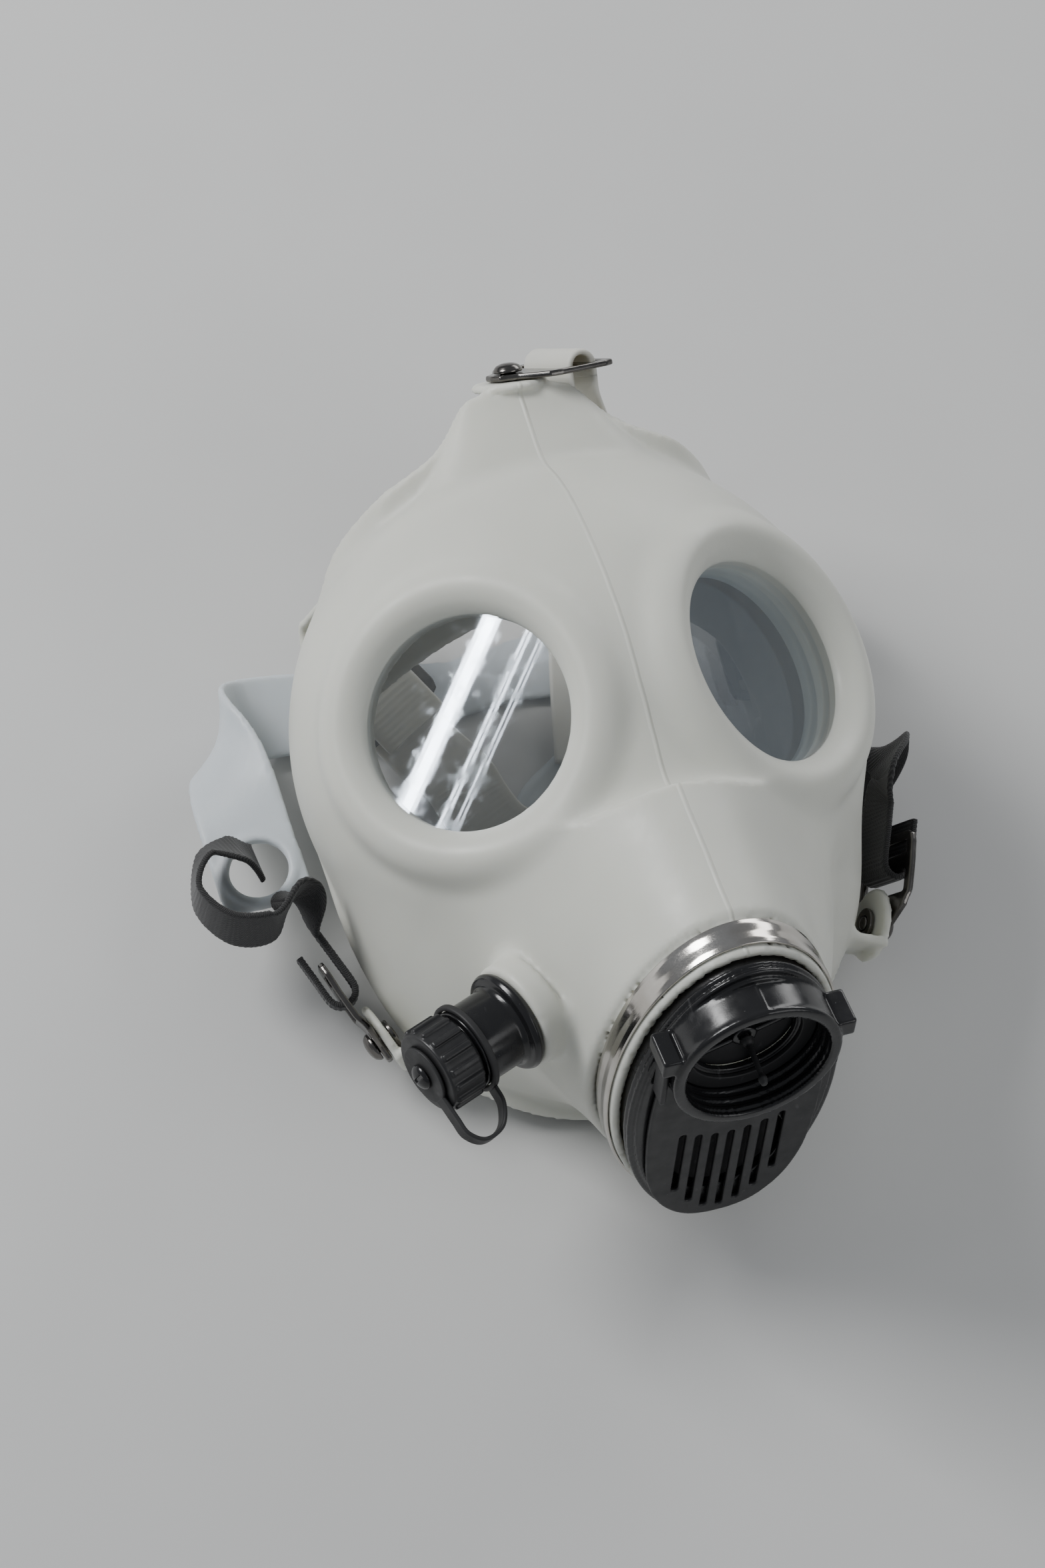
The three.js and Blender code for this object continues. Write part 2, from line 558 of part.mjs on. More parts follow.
const wallOut = 1.2; // the boss face stands this far out of the silicone
add(tube, 'drink_tube', cut(
  turned([
    [0, -8], [8.6, -8], [8.6, wallOut], [TUBE.flange - 1, wallOut], [TUBE.flange, wallOut + 1.2],
    [TUBE.flange - 0.8, wallOut + 3], [TUBE.radius + 0.4, wallOut + 3.4], [TUBE.radius, wallOut + 4.4],
    [TUBE.radius, 18.2], [9.4, 18.2], [9.4, 26.6], [0, 26.6],
  ], 24),
  rod(TUBE.bore, -9, 28, 16),
), blackPlastic());
add(tube, 'tube_nut', ring(12.6, 8.6 + GAP, -7.6, -4.6, ROUND), blackPlastic());
add(tube, 'leash_ring', ring(12.9, TUBE.radius + GAP, 15.9, 17.7, ROUND), blackRubber());
add(tube, 'cap_gasket', ring(9, TUBE.bore + 1, 26.9, 28, 32), blackRubber());

function capBody() {
  const shell = cut(
    rod(CAP.outer - 0.7, CAP.skirt, CAP.face, ROUND), rod(9.9, CAP.skirt - 1, 28.3, ROUND), rod(1.9, 20, 32, 12),
  );
  const ribs = Array.from({ length: CAP.ribs }, (unused, i) => {
    const rib = new THREE.BoxGeometry(1.3, 1.5, CAP.face - CAP.skirt - 1.2)
      .translate(CAP.outer - 0.65, 0, (CAP.face + CAP.skirt) / 2 - 0.3);
    return solid(rib.rotateZ((2 * Math.PI * i) / CAP.ribs));
  });
  return join(shell, ...ribs);
}
add(tube, 'tube_cap', capBody(), blackPlastic());
add(tube, 'cap_button', turned([
  [0, 28.5], [1.5, 28.5], [1.5, 31.7], [3.6, 31.7], [3.4, 32.7], [2.2, 33.4], [0, 33.6],
], 16), blackPlastic());
const LEASH = { wide: 5.4, thick: 1.1, split: 14.2 };
const eyeDisc = join(
  rod(8.2, CAP.face + GAP, CAP.face + 1.3, ROUND),
  block(0, -LEASH.wide / 2, CAP.face + GAP, LEASH.split, LEASH.wide / 2, CAP.face + 1.3),
);
add(tube, 'leash_eye', cut(eyeDisc, rod(1.9, CAP.face, CAP.face + 2, 12)), blackRubber());
const leashAcross = [0, 1, 0];
add(tube, 'cap_leash', ribbon([
  { p: [13.4, 0, 16.8], w: leashAcross }, { p: [17.5, 0, 17.4], w: leashAcross },
  { p: [22.5, 0, 21.5], w: leashAcross }, { p: [22.8, 0, 27.5], w: leashAcross },
  { p: [19, 0, 30.6], w: leashAcross }, { p: [LEASH.split + 0.4, 0, 30.8], w: leashAcross },
], LEASH.wide, LEASH.thick, 16), blackRubber());

// ---- Harness: riveted buckles, straps, rear pad and neck webbing -----------------------------------

const BAR = { y: (BUCKLE.bar[0] + BUCKLE.bar[1]) / 2, z: BUCKLE.thick / 2 };
const STRAP_LOOP = (BUCKLE.bar[1] - BUCKLE.bar[0]) / 2 + 0.7; // inside of the strap where it turns round the bar

function buckleBody() {
  const half = BUCKLE.wide / 2;
  const corner = 3;
  const plate = new THREE.Shape();
  plate.absarc(0, 0, BUCKLE.eye, Math.PI * 1.15, Math.PI * 1.85, false);
  plate.lineTo(half, BUCKLE.slotNear - 3.5);
  plate.lineTo(half, BUCKLE.far - corner);
  plate.absarc(half - corner, BUCKLE.far - corner, corner, 0, Math.PI / 2, false);
  plate.absarc(-half + corner, BUCKLE.far - corner, corner, Math.PI / 2, Math.PI, false);
  plate.lineTo(-half, BUCKLE.slotNear - 3.5);
  const inner = half - 3.2;
  const slot = (y0, y1) => block(-inner, y0, -3, inner, y1, 3);
  return cut(
    extruded(plate, 0, BUCKLE.thick, 4),
    slot(BUCKLE.slotNear, BUCKLE.bar[0]),
    slot(BUCKLE.bar[1], BUCKLE.end),
    rod(BUCKLE.rivet + GAP, -3, 3, 12),
  );
}

// The strap's turned end: a hairpin round the bar that opens along the buckle, turned by `dip` about the bar.
function strapEndBody({ run, tail, dip }) {
  const inner = STRAP_LOOP;
  const outer = inner + STRAP.thick;
  const shape = new THREE.Shape();
  shape.moveTo(run, -outer);
  shape.absarc(0, 0, outer, -Math.PI / 2, -1.5 * Math.PI, true);
  shape.lineTo(tail, outer);
  shape.lineTo(tail, inner);
  shape.absarc(0, 0, inner, Math.PI / 2, 1.5 * Math.PI, false);
  shape.lineTo(run, -inner);
  const options = { depth: STRAP.wide, bevelEnabled: false, curveSegments: 5 };
  const body = new THREE.ExtrudeGeometry(shape, options).translate(0, 0, -STRAP.wide / 2);
  body.rotateX(Math.PI / 2).rotateZ(Math.PI / 2).rotateX(-dip).translate(0, BAR.y, BAR.z);
  return solid(body);
}

const rivetBody = () => turned([
  [0, -TAB_THICK - 1.9], [BUCKLE.rivet, -TAB_THICK - 1.9], [BUCKLE.rivet, BUCKLE.thick + 2 * GAP],
  [RIVET.head, BUCKLE.thick + 2 * GAP], [RIVET.head - 0.1, BUCKLE.thick + 1.4],
  [RIVET.head - 1.2, BUCKLE.thick + RIVET.dome], [0, BUCKLE.thick + RIVET.dome + 0.9],
], 16);
const washerBody = () => ring(RIVET.washer, BUCKLE.rivet + GAP, -TAB_THICK - 1.5, -TAB_THICK - GAP, 16);

// The top strap drops straight through its buckle, and the others leave along theirs.
const STRAP_ENDS = { top: { run: 5.5, tail: 7, dip: Math.PI / 2 }, others: { run: 19, tail: 14, dip: 0 } };
for (const [key, tab] of Object.entries(TABS)) {
  const group = new THREE.Group();
  group.applyMatrix4(tabFrame(tab));
  mask.add(group);
  const lifted = new THREE.Matrix4().makeTranslation(0, 0, GAP);
  add(group, `buckle_${key}`, carried(buckleBody(), lifted), gunmetal());
  add(group, `rivet_${key}`, rivetBody(), gunmetal());
  add(group, `washer_${key}`, washerBody(), gunmetal());
  const woven = key.startsWith('cheek');
  const end = strapEndBody(STRAP_ENDS[key] ?? STRAP_ENDS.others);
  add(group, `strap_end_${key}`, carried(end, lifted), woven ? webbing() : silicone());
}

// A point over face-frame x and y, at a height above the surface that the mask lies on.
function overTable(x, y, height) {
  const z = (height - TABLE_DROP - y * Math.sin(PITCH)) / Math.cos(PITCH);
  return [x, y * Math.cos(PITCH) - z * Math.sin(PITCH), height];
}

// Stations of a strap that runs through table points, kept level across its width unless turned.
function stations(list) {
  const points = list.map(([x, y, h]) => overTable(x, y, h));
  return points.map((p, i) => {
    const [a, b] = [points[Math.max(0, i - 1)], points[Math.min(points.length - 1, i + 1)]];
    return { p, w: list[i][3] ?? [b[1] - a[1], a[0] - b[0], 0] };
  });
}

const PAD = { x: 10, y: -20, radius: 27, bottom: 0.3, top: 2.9 };
const harness = new THREE.Group();
part.add(harness);

function padBody() {
  const [x, y] = overTable(PAD.x, PAD.y, 0);
  const lobes = [[0, 0, PAD.radius], [-15, -14, 15], [17, -12, 14], [4, 17, 14]];
  return join(...lobes.map(([dx, dy, r]) =>
    carried(rod(r, PAD.bottom, PAD.top, ROUND), new THREE.Matrix4().makeTranslation(x + dx, y + dy, 0))));
}
add(harness, 'head_pad', padBody(), thinSilicone());

const STRAPS = {
  strap_top: [
    [21.6, 94, 80, [0.31, -0.58, 0.75]], [25, 90, 70, [0.4, -0.6, 0.65]], [31, 84, 52, [0.7, -0.5, 0.4]],
    [32, 76, 34, [0.9, -0.3, 0.2]], [29, 62, 14, [1, -0.2, 0]], [25, 44, 6.2, [1, -0.15, 0]],
    [20, 26, 5.2, [1, -0.15, 0]], [14, 2, 4.8, [1, -0.2, 0]],
  ],
  strap_temple_left: [[-28, 5, 9], [-25, -4, 7], [-20, -14, 5], [-8, -24, 4.4]],
  strap_temple_right: [[76, -1, 10], [73, -9, 4.2], [62, -16, 2.6], [48, -20, 3.4], [34, -22, 4.6], [22, -22, 4.8]],
};
for (const [name, list] of Object.entries(STRAPS)) {
  add(harness, name, ribbon(stations(list), STRAP.wide, STRAP.thick, 14), silicone());
}

// The neck pad: a band from the head pad that rolls out past the temple and turns down beside it.
const NECK_PAD = { wide: 26, thick: 2, hole: 8.5, holeAt: [-96.5, -14, 27.6] };
const neckPadRun = [
  [17, 38, 3, [0, 1, 0]], [-2, 40, 2.4, [-0.1, 1, 0]], [-26, 38, 2.2, [0, 1, 0]], [-48, 36, 5, [0, 1, 0]],
  [-66, 37, 5.4, [0, 1, 0.1]], [-84, 37, 9, [0.1, 1, 0.2]], [-95, 30, 19, [0.5, 0.85, 0.3]],
  [-97, 14, 27, [0.9, 0.4, 0.3]], [-97, -4, 28, [1, 0, 0.2]], [-96, -24, 27, [1, -0.05, 0.2]],
];
const holeTool = carried(rod(NECK_PAD.hole, -8, 8, 20),
  frameMatrix(overTable(...NECK_PAD.holeAt), [1, 0, 0.2], [-0.2, 0, 1]));
add(harness, 'neck_pad', cut(ribbon(stations(neckPadRun), NECK_PAD.wide, NECK_PAD.thick, 22), holeTool), thinSilicone());

const WEBBING = { wide: 17, thick: 1.5 };
const webbingRuns = {
  webbing_left: [
    [-91, -26, 39, [0.2, 0, 1]], [-99, -33, 38, [0.1, 0.1, 1]], [-110, -31, 37, [0, 0.1, 1]],
    [-117, -20, 38, [0, 0, 1]], [-112, -9, 40.5, [0.1, -0.45, 1]], [-103.5, -9, 39.5, [0.2, -0.9, 0.7]],
    [-97.8, -13, 33.5, [0.2, -1, 0.2]],
  ],
  webbing_right: [
    [89, -28, 31, [0.1, 0, 1]], [94.5, -21, 27, [0.35, -0.15, 1]], [96, -17, 20, [0.75, -0.3, 0.75]],
    [94, -20, 11, [0.8, -0.55, 0.3]], [85, -29, 3.6, [0.65, -0.75, 0.05]], [71, -37, 1.8, [0.6, -0.8, 0]],
    [55, -47, 1.2, [0.35, -0.95, 0]], [40, -50, 1.2, [0, -1, 0]],
  ],
};
for (const [name, list] of Object.entries(webbingRuns)) {
  add(harness, name, ribbon(stations(list), WEBBING.wide, WEBBING.thick, 20), webbing());
}

// ---- Stand the part on the origin -------------------------------------------------------------------

part.updateMatrixWorld(true);
const box = new THREE.Box3().setFromObject(part, true);
part.position.set(-(box.min.x + box.max.x) / 2, -(box.min.y + box.max.y) / 2, -box.min.z);

export default part;
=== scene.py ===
"""Looks of the full face respirator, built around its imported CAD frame.

Lengths are in millimetres until an object is made, which turns them into metres. The face frame has x
across the face, y towards the forehead and z out of the face, with its origin midway between the lens
centres. Left and right in the pieces' names are as seen from the front of the mask. A form is a function
of x, y and z that is negative inside a solid and roughly a distance, and net() turns it into a mesh.
"""
import math
from collections import namedtuple

import bmesh
import bpy
import numpy as np
from mathutils import Matrix, Vector
from mathutils.bvhtree import BVHTree


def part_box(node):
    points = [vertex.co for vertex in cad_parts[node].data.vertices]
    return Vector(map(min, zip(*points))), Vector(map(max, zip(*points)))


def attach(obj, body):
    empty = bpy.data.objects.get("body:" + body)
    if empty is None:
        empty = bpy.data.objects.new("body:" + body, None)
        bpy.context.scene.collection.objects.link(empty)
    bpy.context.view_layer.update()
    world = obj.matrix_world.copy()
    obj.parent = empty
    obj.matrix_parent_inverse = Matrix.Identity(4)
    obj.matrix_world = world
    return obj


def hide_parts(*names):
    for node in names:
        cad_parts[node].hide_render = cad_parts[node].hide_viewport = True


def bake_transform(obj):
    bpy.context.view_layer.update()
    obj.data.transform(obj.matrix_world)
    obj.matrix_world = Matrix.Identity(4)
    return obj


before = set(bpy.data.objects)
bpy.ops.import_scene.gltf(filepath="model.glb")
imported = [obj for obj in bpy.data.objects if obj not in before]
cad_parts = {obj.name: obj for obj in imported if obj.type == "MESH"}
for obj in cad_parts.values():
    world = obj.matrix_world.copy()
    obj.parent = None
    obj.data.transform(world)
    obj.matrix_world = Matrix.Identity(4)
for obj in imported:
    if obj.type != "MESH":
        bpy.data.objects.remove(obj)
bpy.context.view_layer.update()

MM = 0.001

# ---- Driving dimensions, the same as the CAD part's --------------------------------------------------

GAP = 0.3
PITCH = math.radians(12)
TABLE_DROP = 91.5
RIM_LEVEL = 3.4
WALL = 3.0
LENS = {"x": 41.8, "radius": 31.5, "sight": 29.5, "thick": 2.4, "yaw": math.atan2(0.534, 0.845)}
PORT = {"y": -112.5, "z": 31.9, "tilt": math.radians(64.1)}
NECK = {"a": 31.5, "b": 54.0, "wall": 2.4, "drop": 27.0, "front": -16.8, "root": -36.0, "cut": -28.4}
BAND = {"thick": 0.9, "width": 8.0, "front": -19.0}
HOUSING = {"a": 29.5, "b": 53.5, "front": -10.8, "back": -14.3, "spigot": 15.0, "wall": 2.2}
COLLAR = {"outer": 22.9, "bore": 19.9, "floor": -12.6}
EXHALE = {"y": -50.0, "outer": 17.0, "hole": 13.5}
COVER = {"front": -7.8, "thick": 1.5, "rim": -9.5, "slots": 7, "pitch": 4.71, "wide": 2.1}
TUBE = {"at": (-49.1, -79.2, -8), "axis": (-0.929, -0.336, 0.154)}
SPOUT = {"radius": 11.2, "bore": 5.2, "flange": 14.4, "tip": 9.4}
CAP = {"outer": 12.3, "face": 30.0, "skirt": 19.2, "ribs": 16}
STRAP = {"wide": 23.0, "thick": 1.8}
WEBBING = {"wide": 17.0, "thick": 1.5}
BUCKLE = {"wide": 31.0, "thick": 1.7, "near": 9.0, "bar": (15.5, 20.5), "end": 24.2, "far": 27.0}
RIVET_RADIUS = 2.1
TAB = {"radius": 11.0, "wide": 21.0, "thick": 2.6}
SHEET = {"half": 1.25, "edge": 1.2}  # half its thickness, and how far its edge rounds past its middle line
TABS = {
    "top": {"at": (0, 100, -17.8), "normal": (0.02, 0.9, 0.43), "pull": (0.95, 0.12, -0.285)},
    "temple_left": {"at": (-53.5, 48.6, -85), "normal": (0, 0, 1), "pull": (0.5, -0.866, 0)},
    "temple_right": {"at": (77, 38, -89), "normal": (0, 0, 1), "pull": (0, -1, 0)},
    "cheek_left": {"at": (-75, -69.5, -61), "normal": (-0.9, -0.36, -0.2), "pull": (-0.33, 0.94, 0.05)},
    "cheek_right": {"at": (75, -69.5, -61), "normal": (0.9, -0.36, -0.2), "pull": (0.33, 0.94, 0.05)},
}

# ---- Frames ------------------------------------------------------------------------------------------


def centre_of(node):
    low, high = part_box(node)
    return (low + high) / (2 * MM)


def axes_frame(origin, x_axis, z_axis):
    z = Vector(z_axis).normalized()
    x = (Vector(x_axis) - z * z.dot(Vector(x_axis))).normalized()
    turn = Matrix((x, z.cross(x), z)).transposed().to_4x4()
    return Matrix.Translation(Vector(origin)) @ turn


ORIGIN = (centre_of("lens_left") + centre_of("lens_right")) / 2
FACE = Matrix.Translation(ORIGIN) @ Matrix.Rotation(PITCH, 4, "X")
TABLE = Matrix.Translation((ORIGIN.x, ORIGIN.y, ORIGIN.z - TABLE_DROP))
PORT_FRAME = FACE @ Matrix.Translation((0, PORT["y"], PORT["z"])) @ Matrix.Rotation(PORT["tilt"], 4, "X")
TUBE_FRAME = FACE @ axes_frame(TUBE["at"], (0.36, -0.93, 0), TUBE["axis"])


def lens_frame(side):
    return FACE @ Matrix.Translation((side * LENS["x"], 0, 0)) @ Matrix.Rotation(side * LENS["yaw"], 4, "Y")


def tab_frame(tab):
    across = Vector(tab["pull"]).cross(Vector(tab["normal"]))
    return FACE @ axes_frame(tab["at"], across, tab["normal"])


# ---- Forms -------------------------------------------------------------------------------------------


def union(a, b, k):
    h = np.clip(0.5 + 0.5 * (b - a) / k, 0, 1)
    return b + (a - b) * h - k * h * (1 - h)


def common(a, b, k):
    return -union(-a, -b, k)


def cut(a, b, k):
    return -union(-a, b, k)


def oval(u, v, a, b):
    k0 = np.sqrt((u / a) ** 2 + (v / b) ** 2)
    k1 = np.sqrt((u / a**2) ** 2 + (v / b**2) ** 2)
    return k0 * (k0 - 1) / np.maximum(k1, 1e-9)


def ellipsoid(x, y, z, a, b, c):
    k0 = np.sqrt((x / a) ** 2 + (y / b) ** 2 + (z / c) ** 2)
    k1 = np.sqrt((x / a**2) ** 2 + (y / b**2) ** 2 + (z / c**2) ** 2)
    return k0 * (k0 - 1) / np.maximum(k1, 1e-9)


def span(w, low, high):
    return np.abs(w - (low + high) / 2) - (high - low) / 2


def slab(flat, w, low, high, edge):
    """A flat shape given a thickness, with its edges rounded."""
    return common(flat, span(w, low, high), edge)


def brick(x, y, z, low, high, edge):
    flat = common(span(x, low[0], high[0]), span(y, low[1], high[1]), edge)
    return slab(flat, z, low[2], high[2], edge)


def outline_form(x, y, points):
    """Signed distance to a closed outline."""
    best = np.full(np.broadcast(x, y).shape, 1e9)
    inside = np.zeros(best.shape, bool)
    for (ax, ay), (bx, by) in zip(points, np.roll(points, -1, axis=0)):
        ex, ey = bx - ax, by - ay
        t = np.clip(((x - ax) * ex + (y - ay) * ey) / (ex * ex + ey * ey), 0, 1)
        best = np.minimum(best, (x - ax - t * ex) ** 2 + (y - ay - t * ey) ** 2)
        if ay != by:
            crosses = (ay > y) != (by > y)
            inside ^= crosses & (x < ax + (y - ay) * ex / ey)
    return np.where(inside, -1, 1) * np.sqrt(best)


def smooth_step(t):
    t = np.clip(t, 0, 1)
    return t * t * (3 - 2 * t)


def bump_line(t, width):
    return np.exp(-((t / width) ** 2))


# ---- Meshes ------------------------------------------------------------------------------------------


def curve_points(points, count, closed=False):
    """Points along a centripetal Catmull-Rom curve, evenly spaced in its parameter."""
    p = np.asarray(points, float)
    spans = len(p) if closed else len(p) - 1
    ends = (p[-1:], p[:2]) if closed else (2 * p[:1] - p[1:2], 2 * p[-1:] - p[-2:-1])
    p = np.vstack([ends[0], p, ends[1]])
    t = np.linspace(0, spans, count, endpoint=not closed)
    i = np.minimum(t.astype(int), spans - 1)
    f = (t - i)[:, None]
    q = [p[i + k] for k in range(4)]
    d = [np.maximum(np.linalg.norm(b - a, axis=1, keepdims=True), 1e-6) ** 0.5 for a, b in zip(q, q[1:])]
    start = ((q[1] - q[0]) / d[0] - (q[2] - q[0]) / (d[0] + d[1]) + (q[2] - q[1]) / d[1]) * d[1]
    end = ((q[2] - q[1]) / d[1] - (q[3] - q[1]) / (d[1] + d[2]) + (q[3] - q[2]) / d[2]) * d[1]
    square = 3 * (q[2] - q[1]) - 2 * start - end
    cube = 2 * (q[1] - q[2]) + start + end
    return q[1] + start * f + square * f**2 + cube * f**3


Mesh = namedtuple("Mesh", "points faces uv clean", defaults=(None, False))


def net(form, low, high, step):
    """Surface net: one point in each cell that the form's zero level crosses, settled onto that level."""
    axes = [np.arange(a, b + step, step) for a, b in zip(low, high)]
    shape = tuple(len(a) for a in axes)
    value = np.broadcast_to(form(*np.meshgrid(*axes, indexing="ij", sparse=True)), shape)
    inside = value < 0
    corners = [np.array([n & 1, n >> 1 & 1, n >> 2 & 1]) for n in range(8)]
    cells = tuple(n - 1 for n in shape)
    windows = [tuple(slice(c, c + n) for c, n in zip(corner, cells)) for corner in corners]
    full = sum(inside[window].astype(np.int8) for window in windows)
    cell = np.argwhere((full > 0) & (full < 8))
    held = [value[tuple((cell + c).T)] for c in corners]
    total = np.zeros((len(cell), 3))
    crossings = np.zeros(len(cell))
    for a in range(8):
        for b in (a | 1, a | 2, a | 4):
            if a == b:
                continue
            hit = (held[a] < 0) != (held[b] < 0)
            t = np.where(hit, held[a] / np.where(hit, held[a] - held[b], 1), 0)[:, None]
            total += hit[:, None] * (corners[a] + t * (corners[b] - corners[a]))
            crossings += hit
    points = np.array(low) + step * (cell + total / crossings[:, None])
    points = settled(points, form, step)
    index = np.full(cells, -1, np.int64)
    index[tuple(cell.T)] = np.arange(len(cell))
    faces = []
    for axis in range(3):
        one, two = (axis + 1) % 3, (axis + 2) % 3
        near, far = shifted(axis, 1)
        edge = np.argwhere(inside[near] != inside[far])
        for other in (one, two):
            edge = edge[(edge[:, other] > 0) & (edge[:, other] < cells[other])]
        solid_first = inside[tuple(edge.T)]
        quad = []
        for i, j in ((-1, -1), (0, -1), (0, 0), (-1, 0)):
            place = edge.copy()
            place[:, one] += i
            place[:, two] += j
            quad.append(index[tuple(place.T)])
        quad = np.stack(quad, 1)
        quad[~solid_first] = quad[~solid_first][:, ::-1]
        faces.append(quad)
    return Mesh(points, np.vstack(faces), clean=True)


def shifted(axis, n):
    """Indices that leave out a grid's last n layers along an axis, and its first n."""
    near, far = [slice(None)] * 3, [slice(None)] * 3
    near[axis], far[axis] = slice(0, -n), slice(n, None)
    return tuple(near), tuple(far)


def settled(points, form, step):
    """Moves a net's points onto the form's zero level, but for those that would go far."""
    start = points.copy()
    e = 0.02 * step
    for _ in range(3):
        x, y, z = points.T
        f = form(x, y, z)
        slope = np.stack([form(x + e, y, z) - f, form(x, y + e, z) - f, form(x, y, z + e) - f], 1) / e
        points = points - slope * (f / np.maximum((slope**2).sum(1), 0.3))[:, None]
    far = np.linalg.norm(points - start, axis=1) > 0.6 * step
    points[far] = start[far]
    return points


def make(name, mesh, place, look, body="mask", replaces=None):
    """Makes a piece from a mesh in the frame `place`. It rides on body, unless that is None, and stands for
    the CAD nodes in replaces, or for the node of its own name."""
    turn = np.array(place)
    world = (mesh.points @ turn[:3, :3].T + turn[:3, 3]) * MM
    data = bpy.data.meshes.new(name)
    data.from_pydata(world.tolist(), [], mesh.faces if isinstance(mesh.faces, list) else mesh.faces.tolist())
    data.shade_smooth()
    if mesh.uv is not None:
        layer = data.uv_layers.new(name="UVMap")
        order = np.zeros(len(data.loops), np.int64)
        data.loops.foreach_get("vertex_index", order)
        layer.data.foreach_set("uv", mesh.uv[order].astype(np.float32).ravel())
    piece = bpy.data.objects.new(name, data)
    bpy.context.scene.collection.objects.link(piece)
    data.materials.append(look)
    if not mesh.clean:
        tidy_mesh(data)
    if body:
        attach(piece, body)
    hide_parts(*(replaces or [name]))
    return piece


def tidy_mesh(data):
    """Joins points that meet, and turns the faces outwards."""
    work = bmesh.new()
    work.from_mesh(data)
    bmesh.ops.remove_doubles(work, verts=work.verts, dist=0.002 * MM)
    bmesh.ops.recalc_face_normals(work, faces=work.faces)
    work.to_mesh(data)
    work.free()


def filleted(profile, radius):
    """Rounds a profile's corners, and puts a support point on each side of every bend."""
    p = np.asarray(profile, float)
    made = [p[0]]
    for before, here, after in zip(p, p[1:], p[2:]):
        to, away = before - here, after - here
        lengths = np.linalg.norm(to), np.linalg.norm(away)
        reach = min(radius, 0.4 * lengths[0], 0.4 * lengths[1])
        a, b = here + to / lengths[0] * reach, here + away / lengths[1] * reach
        made.append(a + to / lengths[0] * 0.25 * reach)
        for t in np.linspace(0, 1, 5):
            made.append(a * (1 - t) ** 2 + 2 * here * t * (1 - t) + b * t**2)
        made.append(b + away / lengths[1] * 0.25 * reach)
    made.append(p[-1])
    return np.array(made)


def lathe(profile, radius=0.4, segments=96):
    """Turns a profile of (radius, height) about z. A profile that doesn't start on the axis is closed."""
    p = list(profile)
    if p[0][0] > 0:
        middle = ((p[0][0] + p[1][0]) / 2, (p[0][1] + p[1][1]) / 2)
        p = [middle, *p[1:], p[0], middle]
    rows = filleted(p, radius)
    turn = np.linspace(0, 2 * math.pi, segments, endpoint=False)
    points = np.stack([
        rows[:, :1] * np.cos(turn), rows[:, :1] * np.sin(turn), np.repeat(rows[:, 1:], segments, 1),
    ], 2).reshape(-1, 3)
    return Mesh(points, grid_faces(len(rows), segments, wrap=True))


def ring(inner, outer, low, high, radius=0.4, segments=96):
    return lathe([(inner, low), (outer, low), (outer, high), (inner, high)], radius, segments)


def grid_faces(rows, columns, wrap):
    """Quads of a grid of points, its columns joined end to end if wrap is set."""
    last = columns if wrap else columns - 1
    r, c = np.meshgrid(np.arange(rows - 1), np.arange(last), indexing="ij")
    n = (c + 1) % columns
    quads = np.stack([r * columns + c, r * columns + n, (r + 1) * columns + n, (r + 1) * columns + c], 2)
    return quads.reshape(-1, 4)


def ribbon(stations, wide, thick, steps, relief=None):
    """A strip with rounded edges through stations (point, width direction). Its UVs hold the place across
    and along the strip, in millimetres."""
    spine = curve_points([s[0] for s in stations], steps + 1)
    tangent = np.gradient(spine, axis=0)
    tangent /= np.linalg.norm(tangent, axis=1, keepdims=True)
    side = curve_points([s[1] for s in stations], steps + 1)
    side -= tangent * (side * tangent).sum(1, keepdims=True)
    side /= np.linalg.norm(side, axis=1, keepdims=True)
    lift = np.cross(tangent, side)
    along = np.r_[0, np.cumsum(np.linalg.norm(np.diff(spine, axis=0), axis=1))]
    edge = thick / wide
    across = np.r_[-1, -1 + 0.3 * edge, np.linspace(-1 + edge, 1 - edge, 23), 1 - 0.3 * edge, 1]
    drop = np.clip((np.abs(across) - 1 + edge) / edge, 0, 1)
    half = thick / 2 * np.sqrt(1 - drop**2)
    s = np.r_[across, across[-2:0:-1]]
    h = np.r_[half, -half[-2:0:-1]]
    points = spine[:, None] + side[:, None] * (s * wide / 2)[None, :, None]
    rise = np.repeat(h[None], steps + 1, 0)
    if relief is not None:
        rise = rise + np.sign(h) * relief(s[None] * wide / 2, along[:, None]) * (np.abs(h) > 0.3 * thick)
    points = points + lift[:, None] * rise[:, :, None]
    count = len(s)
    faces = grid_faces(steps + 1, count, wrap=True).tolist()
    faces += [list(range(count)), list(range(steps * count, (steps + 1) * count))]
    uv = np.stack(np.broadcast_arrays(s[None] * wide / 2, along[:, None]), 2).reshape(-1, 2)
    return Mesh(points.reshape(-1, 3), faces, uv)


# ---- Materials ---------------------------------------------------------------------------------------


